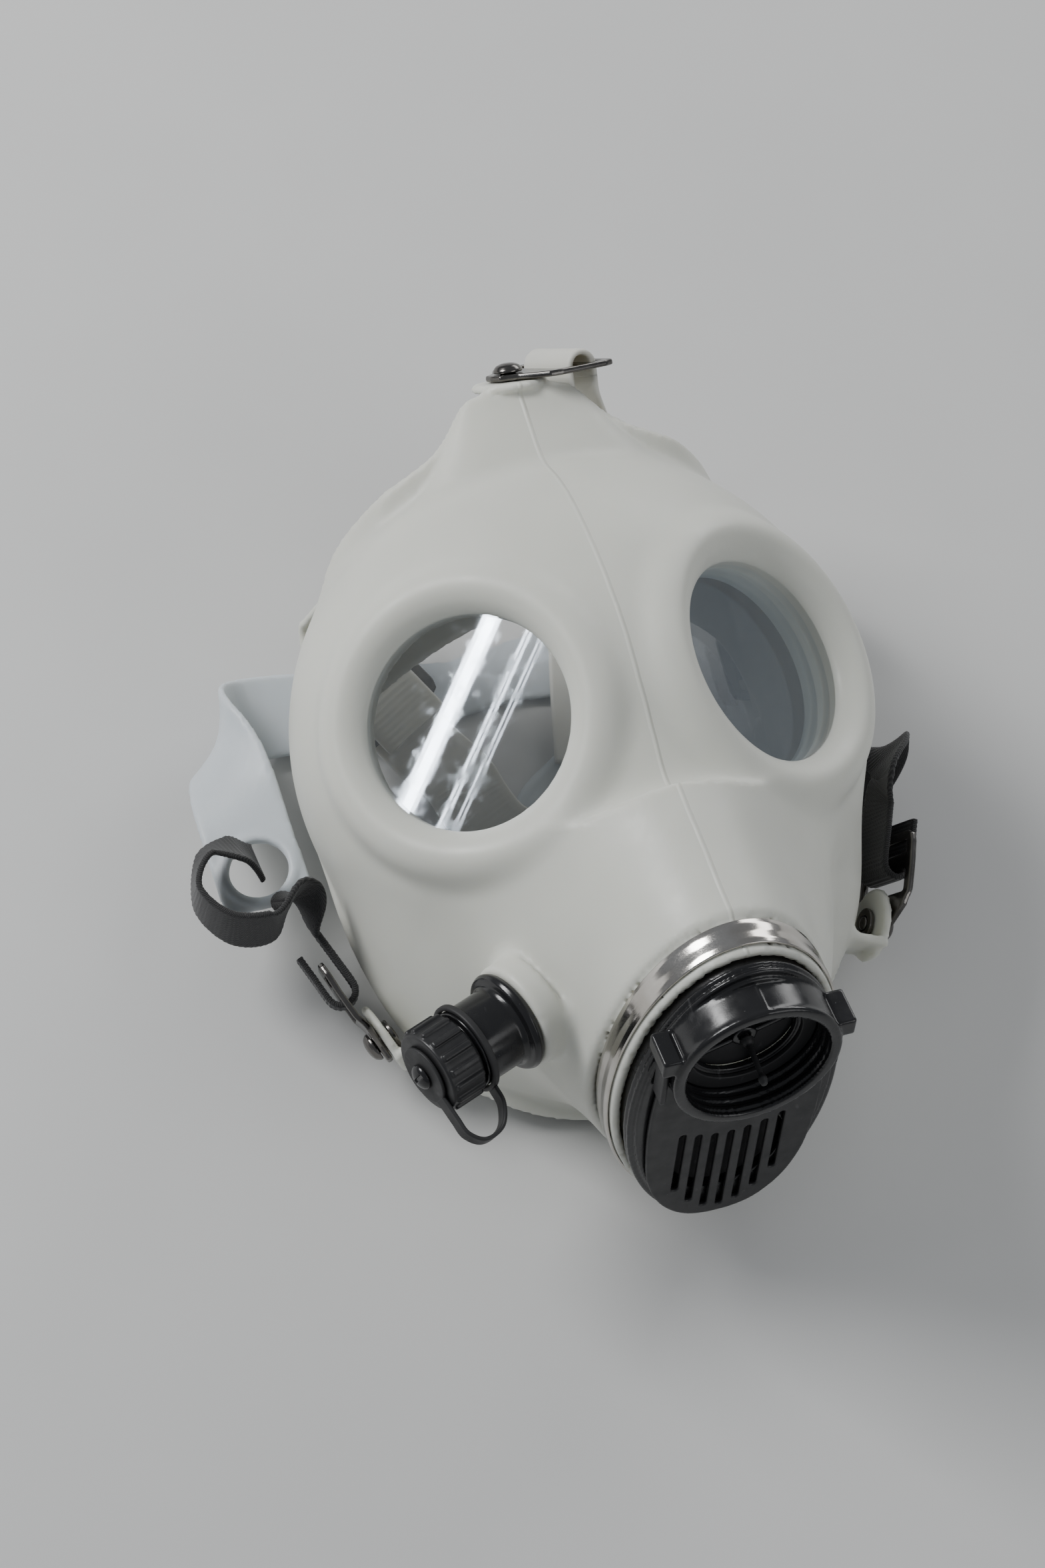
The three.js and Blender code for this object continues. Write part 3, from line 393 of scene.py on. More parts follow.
class Look:
    """A Principled material with helpers that wire up its procedural nodes."""

    def __init__(self, name, **values):
        self.material = bpy.data.materials.new(name)
        self.material.use_nodes = True
        self.nodes = self.material.node_tree.nodes
        self.links = self.material.node_tree.links
        self.shader = self.nodes["Principled BSDF"]
        for key, value in values.items():
            self.shader.inputs[key.replace("_", " ")].default_value = value
        self.place = self.nodes.new("ShaderNodeTexCoord").outputs["Object"]
        self.height = None

    def wire(self, value, socket):
        if hasattr(value, "is_output"):
            self.links.new(value, socket)
        elif value is not None:
            socket.default_value = value

    def math(self, operation, a, b=None):
        node = self.nodes.new("ShaderNodeMath")
        node.operation = operation
        self.wire(a, node.inputs[0])
        self.wire(b, node.inputs[1])
        return node.outputs[0]

    def stretched(self, scale):
        node = self.nodes.new("ShaderNodeMapping")
        node.inputs["Scale"].default_value = scale
        self.wire(self.place, node.inputs["Vector"])
        return node.outputs[0]

    def noise(self, size, detail=3.0, coordinates=None):
        """Noise whose features are about `size` millimetres across."""
        node = self.nodes.new("ShaderNodeTexNoise")
        node.inputs["Scale"].default_value = 1 / (size * MM)
        node.inputs["Detail"].default_value = detail
        self.wire(coordinates or self.place, node.inputs["Vector"])
        return node.outputs["Fac"]

    def ramp(self, value, low, high, start=0.0, end=1.0):
        node = self.nodes.new("ShaderNodeMapRange")
        self.wire(value, node.inputs["Value"])
        for key, number in (("From Min", low), ("From Max", high), ("To Min", start), ("To Max", end)):
            node.inputs[key].default_value = number
        return node.outputs[0]

    def mix(self, factor, a, b):
        node = self.nodes.new("ShaderNodeMix")
        node.data_type = "RGBA"
        self.wire(factor, node.inputs["Factor"])
        self.wire(a, node.inputs[6])
        self.wire(b, node.inputs[7])
        return node.outputs[2]

    def colour(self, value):
        self.wire(value, self.shader.inputs["Base Color"])

    def roughness(self, value):
        self.wire(value, self.shader.inputs["Roughness"])

    def bump(self, height, depth):
        """Raises the surface by `height` times `depth` millimetres."""
        node = self.nodes.new("ShaderNodeBump")
        node.inputs["Strength"].default_value = 1
        node.inputs["Distance"].default_value = depth * MM
        self.wire(height, node.inputs["Height"])
        if self.height is not None:
            self.links.new(self.height, node.inputs["Normal"])
        self.height = node.outputs[0]
        self.links.new(self.height, self.shader.inputs["Normal"])


def silicone(name, tint, deep):
    look = Look(name, Subsurface_Weight=0.35, Subsurface_Scale=0.004, Subsurface_Radius=(1.0, 0.9, 0.75),
                IOR=1.41, Sheen_Weight=0.06, Sheen_Roughness=0.5)
    cloud = look.ramp(look.noise(38, 2), 0.35, 0.65)
    look.colour(look.mix(cloud, (*tint, 1), (*deep, 1)))
    look.roughness(look.ramp(look.noise(9, 4), 0.3, 0.7, 0.36, 0.5))
    look.bump(look.noise(0.9, 3), 0.02)
    look.bump(look.noise(7, 2), 0.06)
    return look


def seamed(look):
    """A fine raised parting line down the middle of the facepiece."""
    apart = look.nodes.new("ShaderNodeSeparateXYZ")
    look.links.new(look.place, apart.inputs[0])
    wander = look.ramp(look.noise(26, 2), 0, 1, -0.5 * MM, 0.5 * MM)
    aside = look.math("SUBTRACT", apart.outputs[0], ORIGIN.x * MM)
    off = look.math("ABSOLUTE", look.math("ADD", aside, wander))
    line = look.ramp(off, 0.15 * MM, 0.75 * MM, 1, 0)
    look.bump(line, 0.28)
    return look


def moulded(name, tint, gloss, specks):
    """Black moulded plastic with fine grain, faint scratches and a few pale specks of dust."""
    look = Look(name, IOR=1.5)
    dust = look.ramp(look.noise(0.7, 2), 0.73, 0.8, 0, specks)
    scratch = look.ramp(look.noise(2.2, 5, look.stretched((1, 0.12, 0.5))), 0.66, 0.74, 0, 0.4 * specks)
    marks = look.math("MAXIMUM", dust, scratch)
    worn = tuple(0.12 + c for c in tint)
    look.colour(look.mix(marks, (*tint, 1), (*worn, 1)))
    look.roughness(look.ramp(look.noise(5, 5), 0.3, 0.7, gloss, gloss + 0.16))
    look.bump(look.noise(0.5, 3), 0.008)
    look.bump(look.noise(6, 2), 0.03)
    return look


def metal(name, tint, dark, gloss, grain):
    look = Look(name, Metallic=1.0)
    look.colour(look.mix(look.ramp(look.noise(11, 4), 0.3, 0.7), (*tint, 1), (*dark, 1)))
    fine = look.noise(0.35, 4, look.stretched(grain))
    look.roughness(look.ramp(fine, 0.3, 0.7, gloss, gloss + 0.1))
    look.bump(fine, 0.002)
    return look


def woven(name):
    """Black webbing: pale flecks over its ribs, and threads finer than the modelled ribs."""
    look = Look(name, Roughness=0.82, Sheen_Weight=0.25, Sheen_Roughness=0.45)
    flat = look.nodes.new("ShaderNodeUVMap")
    flat.uv_map = "UVMap"
    threads = look.nodes.new("ShaderNodeTexWave")
    threads.bands_direction = "DIAGONAL"
    threads.inputs["Scale"].default_value = 1.1
    threads.inputs["Distortion"].default_value = 0.6
    look.links.new(flat.outputs[0], threads.inputs["Vector"])
    flecks = look.ramp(look.noise(0.45, 2), 0.6, 0.75, 0, 0.8)
    tone = look.math("MAXIMUM", flecks, look.ramp(threads.outputs["Fac"], 0.4, 1, 0, 0.4))
    look.colour(look.mix(tone, (0.012, 0.012, 0.013, 1), (0.09, 0.088, 0.085, 1)))
    look.bump(threads.outputs["Fac"], 0.09)
    look.bump(look.noise(0.3, 2), 0.05)
    return look


def pane():
    """Clear lens: it mirrors by its share at each slant, and lets the rest through."""
    look = Look("lens", Metallic=1.0, Base_Color=(0.93, 0.97, 1, 1), Roughness=0.02)
    slant = look.nodes.new("ShaderNodeLayerWeight")
    slant.inputs["Blend"].default_value = 0.28
    smears = look.ramp(look.noise(9, 5, look.stretched((1, 0.35, 1))), 0.55, 0.8, 0, 0.05)
    share = look.ramp(slant.outputs["Fresnel"], 0.0, 1, 0.07, 0.85)
    look.links.new(look.math("ADD", share, smears), look.shader.inputs["Alpha"])
    look.roughness(look.ramp(look.noise(4, 5), 0.5, 0.8, 0.015, 0.08))
    return look


body_look = seamed(silicone("silicone", (0.69, 0.695, 0.63), (0.65, 0.655, 0.595))).material
thin_look = silicone("thin_silicone", (0.6, 0.645, 0.68), (0.56, 0.6, 0.63)).material
strap_look = silicone("strap_silicone", (0.66, 0.655, 0.6), (0.62, 0.615, 0.57)).material
lens_look = pane().material
gloss_look = moulded("black_gloss", (0.012, 0.012, 0.013), 0.14, 0.6).material
satin_look = moulded("black_satin", (0.016, 0.016, 0.017), 0.36, 0.5).material
rubber_look = moulded("black_rubber", (0.02, 0.02, 0.021), 0.5, 0.5).material
steel_look = metal("steel", (0.66, 0.64, 0.61), (0.5, 0.47, 0.43), 0.1, (1, 1, 0.1)).material
dark_metal_look = metal("gunmetal", (0.2, 0.19, 0.18), (0.1, 0.095, 0.09), 0.16, (0.3, 1, 1)).material
webbing_look = woven("webbing").material

# ---- Camera, light and floor -------------------------------------------------------------------------

# The camera in the face frame, in millimetres, and its focal length over the picture's height.
VIEW = {
    "at": (-255.8, -207.7, 846.6), "right": (0.9466, -0.2587, 0.1925), "down": (-0.2041, -0.9428, -0.2635),
}
FOCUS = 5000 / 2352
STREAK_REACH = 500  # from the lens to its strip lights


def build_camera():
    data = bpy.data.cameras.new("camera")
    data.sensor_width = 36
    data.lens = 36 * FOCUS
    data.clip_end = 10
    right = Vector(VIEW["right"]).normalized()
    up = -Vector(VIEW["down"]).normalized()
    back = right.cross(up)
    pose = Matrix((right, up, back)).transposed().to_4x4()
    pose.translation = VIEW["at"]
    placed = FACE @ pose
    placed.translation *= MM
    camera = bpy.data.objects.new("camera", data)
    camera.matrix_world = placed
    bpy.context.scene.collection.objects.link(camera)
    bpy.context.scene.camera = camera


def area_light(name, pose, size, power, colour=(1, 1, 1)):
    data = bpy.data.lights.new(name, "AREA")
    data.shape = "RECTANGLE"
    data.size, data.size_y = size
    data.energy = power
    data.color = colour
    light = bpy.data.objects.new(name, data)
    light.matrix_world = pose
    bpy.context.scene.collection.objects.link(light)


def build_light(name, at, size, power):
    """A light at a place in metres, turned to the middle of the mask."""
    turn = (Vector((0, 0, 0.04)) - Vector(at)).to_track_quat("-Z", "Y").to_matrix().to_4x4()
    area_light(name, Matrix.Translation(at) @ turn, size, power)


def build_streak(name, ends, wide, power):
    """A strip light whose mirror image crosses the left lens between two points of its face."""
    lens, eye = lens_frame(-1), FACE @ Vector(VIEW["at"])
    normal = lens.to_3x3() @ Vector((0, 0, 1))
    tips = []
    for end in ends:
        point = lens @ Vector((*end, 0))
        ray = (point - eye).normalized()
        tips.append(point + ray.reflect(normal) * STREAK_REACH)
    middle, run = (tips[0] + tips[1]) / 2, tips[1] - tips[0]
    back = (middle - lens.translation).normalized()
    up = (run - back * run.dot(back)).normalized()
    pose = Matrix((up.cross(back), up, back)).transposed().to_4x4()
    pose.translation = middle * MM
    area_light(name, pose, (wide * MM, run.length * MM), power, (0.86, 0.92, 1))


def build_stage():
    look = Look("floor", Roughness=0.7)
    look.colour(look.mix(look.noise(60, 3), (0.62, 0.62, 0.61, 1), (0.66, 0.66, 0.65, 1)))
    look.bump(look.noise(1.5, 4), 0.02)
    size = 4.0
    data = bpy.data.meshes.new("floor")
    corners = [(-size, -size, 0), (size, -size, 0), (size, size, 0), (-size, size, 0)]
    data.from_pydata(corners, [], [(0, 1, 2, 3)])
    data.materials.append(look.material)
    floor = bpy.data.objects.new("floor", data)
    bpy.context.scene.collection.objects.link(floor)
    world = bpy.data.worlds.new("world")
    world.use_nodes = True
    world.node_tree.nodes["Background"].inputs["Color"].default_value = (0.8, 0.84, 0.9, 1)
    world.node_tree.nodes["Background"].inputs["Strength"].default_value = 0.3
    bpy.context.scene.world = world
    build_light("key", (-0.9, 0.7, 1.0), (0.6, 0.5), 19)
    build_light("fill", (0.8, -0.9, 0.9), (0.9, 0.9), 4)
    build_light("back", (0.9, 0.9, 0.5), (0.8, 0.4), 5)
    build_streak("streak", ((17, 29), (-29, -22)), 6, 0.1)
    build_streak("thin_streak", ((27, 23), (-19, -28)), 1.2, 0.012)
    build_streak("second_thin_streak", ((30.5, 20.5), (-15.5, -30.5)), 0.8, 0.006)


build_camera()
build_stage()

# ---- Facepiece ---------------------------------------------------------------------------------------

SKIRT_EDGE = [
    (0, 96.5, -12), (8, 96.2, -12.2), (14, 95, -12.8), (18, 91, -14), (22, 86, -14.5), (28, 81, -14.8),
    (35, 78, -16.5), (42, 75.5, -19.5), (50, 71.5, -28), (54, 69, -35), (58, 64.5, -42), (61, 58, -45),
    (64, 50, -47), (67, 41, -52), (71, 28, -61), (75, 10, -66),
    (77, -10, -63), (77.5, -26, -61), (76, -40, -61), (71, -57, -61), (65, -71, -62), (58, -82, -62),
    (48, -92, -62), (30, -101, -66), (0, -106, -68),
]
SKIRT_ROOT = [
    (0, 60, -5), (25, 57, -8.5), (45, 51, -16), (58, 44, -27), (66, 35, -40), (72, 22, -54), (76, 6, -58),
    (76, -12, -55), (72, -30, -54), (66, -46, -56), (58, -60, -57), (50, -72, -58), (36, -85, -60),
    (18, -93, -62), (0, -96, -62),
]
CHEEK_ROOT = [
    ((-58, -66, -56), (0.1, 0.1, 1)), ((-64.5, -72, -59), (0.1, 0.05, 1)), ((-71.4, -75, -61), (0.1, 0, 1)),
]
TAB_ROOTS = {
    "top": [],
    "temple_left": [
        ((-50, 64.5, -45), (0.8, 0.6, 0)), ((-51, 65, -60), (0.8, 0.6, 0)),
        ((-52, 64.5, -75), (0.85, 0.5, 0)), ((-53, 61, -83.5), (0.93, 0.35, 0)),
        ((-53.5, 56.5, -86.1), (1, 0.1, 0)), ((-53.6, 53, -86.3), (1, 0, 0)),
    ],
    "temple_right": [
        ((62, 44, -38), (0.4, -0.92, 0)), ((71, 50, -50), (0.5, -0.86, 0)),
        ((78, 55, -66), (0.8, -0.6, 0)), ((79, 55, -82), (0.95, -0.3, 0)),
        ((77.5, 50, -89.6), (1, 0, 0)), ((77, 46, -90.3), (1, 0, 0)),
    ],
    "cheek_left": CHEEK_ROOT,
    "cheek_right": [((-x, y, z), (a, -b, -c)) for (x, y, z), (a, b, c) in CHEEK_ROOT],
}
FACE_OPENING = [
    (0, 38), (22, 37), (44, 31), (58, 24), (64.5, 10), (65, -14), (60, -42), (49, -66), (30, -82), (0, -86),
]


def port_coords(x, y, z):
    """Coordinates along the port: across it, up the face and out of it."""
    dy, dz = y - PORT["y"], z - PORT["z"]
    c, s = math.cos(PORT["tilt"]), math.sin(PORT["tilt"])
    return x, dy * c + dz * s, dz * c - dy * s


def lens_coords(x, y, z):
    """Distance from a lens axis, and height in front of the lens."""
    dx = np.abs(x) - LENS["x"]
    c, s = math.cos(LENS["yaw"]), math.sin(LENS["yaw"])
    return np.sqrt((dx * c - z * s) ** 2 + y**2), dx * s + z * c


def face_back(x, y):
    curved = -38 - 0.0103 * x**2 - 40 * smooth_step(-y / 95)
    level = (RIM_LEVEL - TABLE_DROP - y * math.sin(PITCH)) / math.cos(PITCH)
    return np.maximum(np.maximum(curved, level), -81)


def head_form(x, y, z):
    dome = ellipsoid(x, y - 2, z + 45, 83, 82, 69)
    muzzle = ellipsoid(x, y + 55, z + 25, 50, 60, 47)
    jaw = ellipsoid(x, y + 45, z + 60, 74, 57, 45)
    u, v, w = port_coords(x, y, z)
    flare = 0.12 * np.maximum(0, NECK["cut"] - w)
    tube = oval(u, v + NECK["drop"], NECK["a"] + 1.5 + flare, NECK["b"] + 1.5 + flare)
    neck = np.maximum(np.maximum(tube, w - NECK["front"]), -70 - w)
    body = union(union(union(dome, muzzle, 14), jaw, 14), neck, 12)
    return cut(body, z - face_back(x, y), 7)


def outer_form(x, y, z):
    rho, h = lens_coords(x, y, z)
    well = np.maximum(rho - 38, 0.5 - h)
    rim = np.hypot(rho - 36.5, (h - 0.5) * 0.95) - 6.6
    return union(cut(head_form(x, y, z), well, 4), rim, 5)


def inner_form(x, y, z):
    rho, h = lens_coords(x, y, z)
    seat = np.maximum(rho - 39, -4.6 - h)
    return cut(head_form(x, y, z) + WALL, seat, 5)


def mirrored_loop(half, count):
    rest = [(-x, y, z) for x, y, z in half[-2:0:-1]]
    return curve_points(half + rest, count, closed=True)


def skirt_patch():
    count, rows = 260, 12
    edge = mirrored_loop(SKIRT_EDGE, count)
    root = mirrored_loop(SKIRT_ROOT, count)
    middle = np.array((0, 0, -1.2))
    inset = 0.035  # the sheet's rounded edge reaches past its middle line
    rows_at = np.linspace(0, 1 - inset, rows)
    return np.array([root * (1 - t) + edge * t + middle for t in rows_at]), True


def strip_patch(stations, wide):
    spine = curve_points([s[0] for s in stations], 40)
    side = curve_points([s[1] for s in stations], 40)
    tangent = np.gradient(spine, axis=0)
    side -= tangent * ((side * tangent).sum(1) / (tangent**2).sum(1))[:, None]
    side /= np.linalg.norm(side, axis=1, keepdims=True)
    return np.array([spine + side * s for s in np.linspace(-wide / 2, wide / 2, 8)]), False


def disc_patch(tab, radius, depth):
    place = np.array(FACE.inverted() @ tab_frame(tab))
    turn = np.linspace(0, 2 * math.pi, 48, endpoint=False)
    rings = []
    for r in np.linspace(0.05, radius, 8):
        flat = np.stack([r * np.cos(turn), r * np.sin(turn), np.full(48, -depth)], 1)
        rings.append(flat @ place[:3, :3].T + place[:3, 3])
    return np.array(rings), True


def sheet_distance(patches, axes, reach):
    """Distance to the nearest patch at the grid's points within `reach`, and `reach` elsewhere."""
    shape = tuple(len(a) for a in axes)
    low, step = np.array([a[0] for a in axes]), axes[0][1] - axes[0][0]
    vertices, faces = [], []
    near = np.zeros(shape, bool)
    for points, wrap in patches:
        rows, columns = points.shape[:2]
        faces += (grid_faces(rows, columns, wrap) + len(vertices)).tolist()
        vertices += points.reshape(-1, 3).tolist()
        fine = points.reshape(-1, 3)
        if wrap:
            points = np.concatenate([points, points[:, :1]], 1)
        for t in (0.25, 0.5, 0.75):
            across = points[:, :-1] * (1 - t) + points[:, 1:] * t
            fine = np.vstack([fine, across.reshape(-1, 3)])
            fine = np.vstack([fine, (points[:-1] * (1 - t) + points[1:] * t).reshape(-1, 3)])
        cell = np.round((fine - low) / step).astype(int)
        cell = cell[((cell >= 0) & (cell < shape)).all(1)]
        near[tuple(cell.T)] = True
    spread = int(reach / step) + 2
    for axis in range(3):
        grown = near.copy()
        for n in range(1, spread + 1):
            behind, ahead = shifted(axis, n)
            grown[ahead] |= near[behind]
            grown[behind] |= near[ahead]
        near = grown
    tree = BVHTree.FromPolygons(vertices, faces)
    distance = np.full(shape, reach)
    places = np.argwhere(near)
    found = [tree.find_nearest(p, reach)[3] for p in (low + places * step).tolist()]
    distance[tuple(places.T)] = [reach if d is None else d for d in found]
    return distance


def sampled(values, low, step):
    """A form that reads a grid of values, with straight-line steps between its points."""
    top = np.array(values.shape) - 1.001

    def form(x, y, z):
        x, y, z = np.broadcast_arrays(x, y, z)
        place = [np.clip((c - l) / step, 0, t) for c, l, t in zip((x, y, z), low, top)]
        whole = [p.astype(int) for p in place]
        part = [p - w for p, w in zip(place, whole)]
        total = 0
        for n in range(8):
            bits = (n & 1, n >> 1 & 1, n >> 2 & 1)
            weight = 1
            for b, f in zip(bits, part):
                weight = weight * (f if b else 1 - f)
            total = total + weight * values[tuple(w + b for w, b in zip(whole, bits))]
        return total

    return form


def in_frame(place, x, y, z):
    """Coordinates of face-frame points in another frame."""
    m = np.array(place.inverted() @ FACE)
    return [m[i, 0] * x + m[i, 1] * y + m[i, 2] * z + m[i, 3] for i in range(3)]


def facepiece_form(sheets):
    outline = curve_points(FACE_OPENING + [(-x, y) for x, y in FACE_OPENING[-2:0:-1]], 72, closed=True)
    tab_places = [tab_frame(tab) for tab in TABS.values()]

    def form(x, y, z):
        u, v, w = port_coords(x, y, z)
        v = v + NECK["drop"]
        outer = outer_form(x, y, z)
        ahead = np.maximum(oval(u, v, NECK["a"] + 30, NECK["b"] + 30), NECK["cut"] - w)
        outer = cut(outer, ahead, 1.5)
        bu, bv, bw = in_frame(TUBE_FRAME, x, y, z)
        boss = slab(np.hypot(bu, bv) - 15, bw, -7, 0.9, 1.5)
        outer = union(outer, boss, 4)
        solid = union(outer, sheets(x, y, z) - SHEET["half"], 2.5)
        lip = 0.7 * bump_line(w - NECK["front"] - 1.0, 0.9)
        neck = slab(oval(u, v, NECK["a"], NECK["b"]) - lip, w, NECK["root"], NECK["front"], 0.8)
        solid = union(solid, neck, 1.0)
        solid = cut(solid, inner_form(x, y, z), 1.2)
        opening = np.maximum(outline_form(x, y, outline), z + 24)
        solid = cut(solid, opening, 1.5)
        bore = oval(u, v, NECK["a"] - NECK["wall"], NECK["b"] - NECK["wall"])
        solid = cut(solid, np.maximum(bore, span(w, -62, 5)), 0.8)
        rho, h = lens_coords(x, y, z)
        solid = cut(solid, np.maximum(rho - LENS["sight"], span(h, -14, 16)), 0.8)
        solid = cut(solid, np.maximum(np.hypot(bu, bv) - 9, span(bw, -20, 12)), 0.6)
        for place in tab_places:
            hx, hy, hz = in_frame(place, x, y, z)
            solid = cut(solid, np.maximum(np.hypot(hx, hy) - 2.4, span(hz, -7, 4)), 0.4)
        return solid

    return form


def build_facepiece():
    step = 1.35
    low, high = (-94, -150, -98), (94, 116, 56)
    axes = [np.arange(a, b + step, step) for a, b in zip(low, high)]
    patches = [skirt_patch()]
    for key, root in TAB_ROOTS.items():
        patches.append(disc_patch(TABS[key], TAB["radius"] - SHEET["edge"], TAB["thick"] / 2))
        if root:
            patches.append(strip_patch(root, TAB["wide"] - 2 * SHEET["edge"]))
    distance = sheet_distance(patches, axes, 6.0)
    sheets = sampled(distance, low, step)
    make("facepiece", net(facepiece_form(sheets), low, high, step), FACE, body_look)


build_facepiece()

# ---- Lenses ------------------------------------------------------------------------------------------


def build_lenses():
    for key, side in (("left", -1), ("right", 1)):
        half = LENS["thick"] / 2
        disc = lathe([(0, -half), (LENS["radius"], -half), (LENS["radius"], half), (0, half)], 0.3, 128)
        make(f"lens_{key}", disc, lens_frame(side), lens_look)


build_lenses()

# ---- Port: band, housing, valves and slotted cover ---------------------------------------------------


def oval_sweep(section, a, b, segments=256):
    """Sweeps a closed section of (offset, height) round an oval."""
    turn = np.linspace(0, 2 * math.pi, segments, endpoint=False)
    rows = filleted([section[-1], *section, section[0]], 0.35)[1:-1]
    points = np.array([
        np.stack([(a + o) * np.cos(turn), (b + o) * np.sin(turn) - NECK["drop"], np.full(segments, w)], 1)
        for o, w in [*rows, rows[0]]
    ])
    return Mesh(points.reshape(-1, 3), grid_faces(len(points), segments, wrap=True))


def build_band():
    back = BAND["front"] - BAND["width"]
    middle = (back + BAND["front"]) / 2
    t = BAND["thick"]
    section = [(0, back), (t * 0.8, back), (t, back + 1.6), (t * 0.85, middle), (t, BAND["front"] - 1.6),
               (t * 0.8, BAND["front"]), (0, BAND["front"])]
    make("clamp_band", oval_sweep(section, NECK["a"] + GAP, NECK["b"] + GAP), PORT_FRAME, steel_look)

    top = -NECK["drop"] - NECK["b"] - 2 * GAP - t

    def clip(x, y, z):
        plate = brick(x, y, z, (-7, top - 1, back + 0.5), (7, top - 0.1, BAND["front"] - 0.5), 0.3)
        ear = brick(x, y, z, (-2.2, top - 3.4, back + 1.5), (2.2, top - 0.5, BAND["front"] - 1.5), 0.4)
        return union(plate, ear, 0.6)

    low, high = (-8, top - 4.5, back - 1), (8, top + 1, BAND["front"] + 1)
    make("band_clip", net(clip, low, high, 0.3), PORT_FRAME, steel_look)


LUG = {"low": 3.6, "high": 9.4, "front": -1.0, "reach": 26.4}
EAR = {"low": -12.0, "high": 2.6, "front": -3.4, "thick": 1.6}


def housing_form(x, y, z):
    v = y + NECK["drop"]
    groove = 0.8 * bump_line(z + 12.5, 0.55)
    back, front = HOUSING["back"], HOUSING["front"]
    solid = slab(oval(x, v, HOUSING["a"], HOUSING["b"]) + groove, z, back, front, 0.7)
    step = slab(oval(x, v, HOUSING["a"] - 2, HOUSING["b"] - 2), z, front - 0.5, front + 1, 0.5)
    a, b = NECK["a"] - NECK["wall"] - GAP, NECK["b"] - NECK["wall"] - GAP
    end = back - HOUSING["spigot"]
    spigot = slab(oval(x, v, a, b), z, end, back + 0.5, 0.5)
    solid = union(union(solid, step, 0.4), spigot, 0.3)
    hollow = slab(oval(x, v, a - HOUSING["wall"], b - HOUSING["wall"]), z, end - 2, back, 0.5)
    solid = cut(solid, hollow, 0.4)
    r = np.hypot(x, y)
    seam = 0.22 * bump_line(x, 0.4) * smooth_step(y / 6)
    lip = 0.25 * bump_line(z + 0.9, 0.7)
    collar = slab(r - COLLAR["outer"] - seam - lip, z, front - 1, 0, 0.6)
    solid = union(solid, collar, 0.6)
    low, high = (COLLAR["outer"] - 1.5, LUG["low"], front - 1), (LUG["reach"], LUG["high"], LUG["front"])
    for side in (-1, 1):
        solid = union(solid, brick(side * x, y, z, low, high, 0.6), 0.5)
    e = np.hypot(x, y - EXHALE["y"])
    wall = slab(np.maximum(e - EXHALE["outer"] - 3, EXHALE["outer"] - e), z, front - 1, -10.0, 0.3)
    solid = union(solid, wall, 0.3)
    thread = 0.35 * np.sin(2 * math.pi * z / 3.0) * smooth_step((z + 10) / 1.5) * smooth_step(-z / 1.5)
    solid = cut(solid, slab(r - COLLAR["bore"] + thread, z, COLLAR["floor"], 4, 0.3), 0.5)
    solid = cut(solid, slab(r - COLLAR["bore"] + 3, z, back - 4, 4, 0.3), 0.3)
    return cut(solid, slab(e - EXHALE["outer"], z, back - 4, 4, 0.3), 0.3)


def seat_mesh(outer, hole, hub, z0, z1, spokes):
    """A spoked seat with a raised land, and a hub that holds the valve's stem."""

    def form(x, y, z):
        r = np.hypot(x, y)
        solid = slab(np.maximum(r - outer, hole - 0.4 - r), z, z0, z1, 0.3)
        solid = union(solid, slab(np.abs(r - hole - 1.2) - 0.5, z, z0, z1 + 0.3, 0.3), 0.3)
        solid = union(solid, slab(r - hub, z, z0, z1 + 0.4, 0.5), 0.3)
        for i in range(spokes):
            angle = 2 * math.pi * i / spokes + 0.35
            along = x * math.cos(angle) + y * math.sin(angle)
            across = y * math.cos(angle) - x * math.sin(angle)
            solid = union(solid, brick(along, across, z, (0, -0.8, z0), (hole, 0.8, z1), 0.3), 0.4)
        return cut(solid, r - 1.5, 0.2)

    reach = outer + 1
    return net(form, (-reach, -reach, z0 - 1), (reach, reach, z1 + 1.5), 0.42)


def drooped(mesh, start, reach, fall):
    """Bends the far part of a turned stem down."""
    t = np.clip((mesh.points[:, 2] - start) / reach, 0, None)
    mesh.points[:, 1] -= fall * t**2
    return mesh


def cover_outline():
    half = [(23.2, -9), (24.4, -26), (24, -42), (22, -57), (17, -68.5), (9.4, -75.6)]
    return curve_points([*half, (0, -77.5), *[(-x, y) for x, y in half[::-1]]], 60)


def cover_form(x, y, z):
    flat = outline_form(x, y, cover_outline())
    inside = COVER["front"] - COVER["thick"]
    solid = slab(flat, z, COVER["rim"], COVER["front"], 0.7)
    solid = cut(solid, slab(flat + 1.8, z, COVER["rim"] - 2, inside, 0.3), 0.3)
    near = COLLAR["outer"] + GAP
    low, high = (near, EAR["low"], inside), (near + EAR["thick"], EAR["high"], EAR["front"])
    for side in (-1, 1):
        solid = union(solid, brick(side * x, y, z, low, high, 0.5), 0.4)
    solid = cut(solid, np.hypot(x, y) - near, 0.3)
    for k in range(-(COVER["slots"] // 2), COVER["slots"] // 2 + 1):
        top, bottom = -39 + 0.36 * k * k, -74.4 + 1.36 * k * k
        half = COVER["wide"] / 2
        dy = np.maximum(np.abs(y - (top + bottom) / 2) - (top - bottom) / 2 + half, 0)
        solid = cut(solid, np.hypot(x - k * COVER["pitch"], dy) - half, 0.35)
    return solid


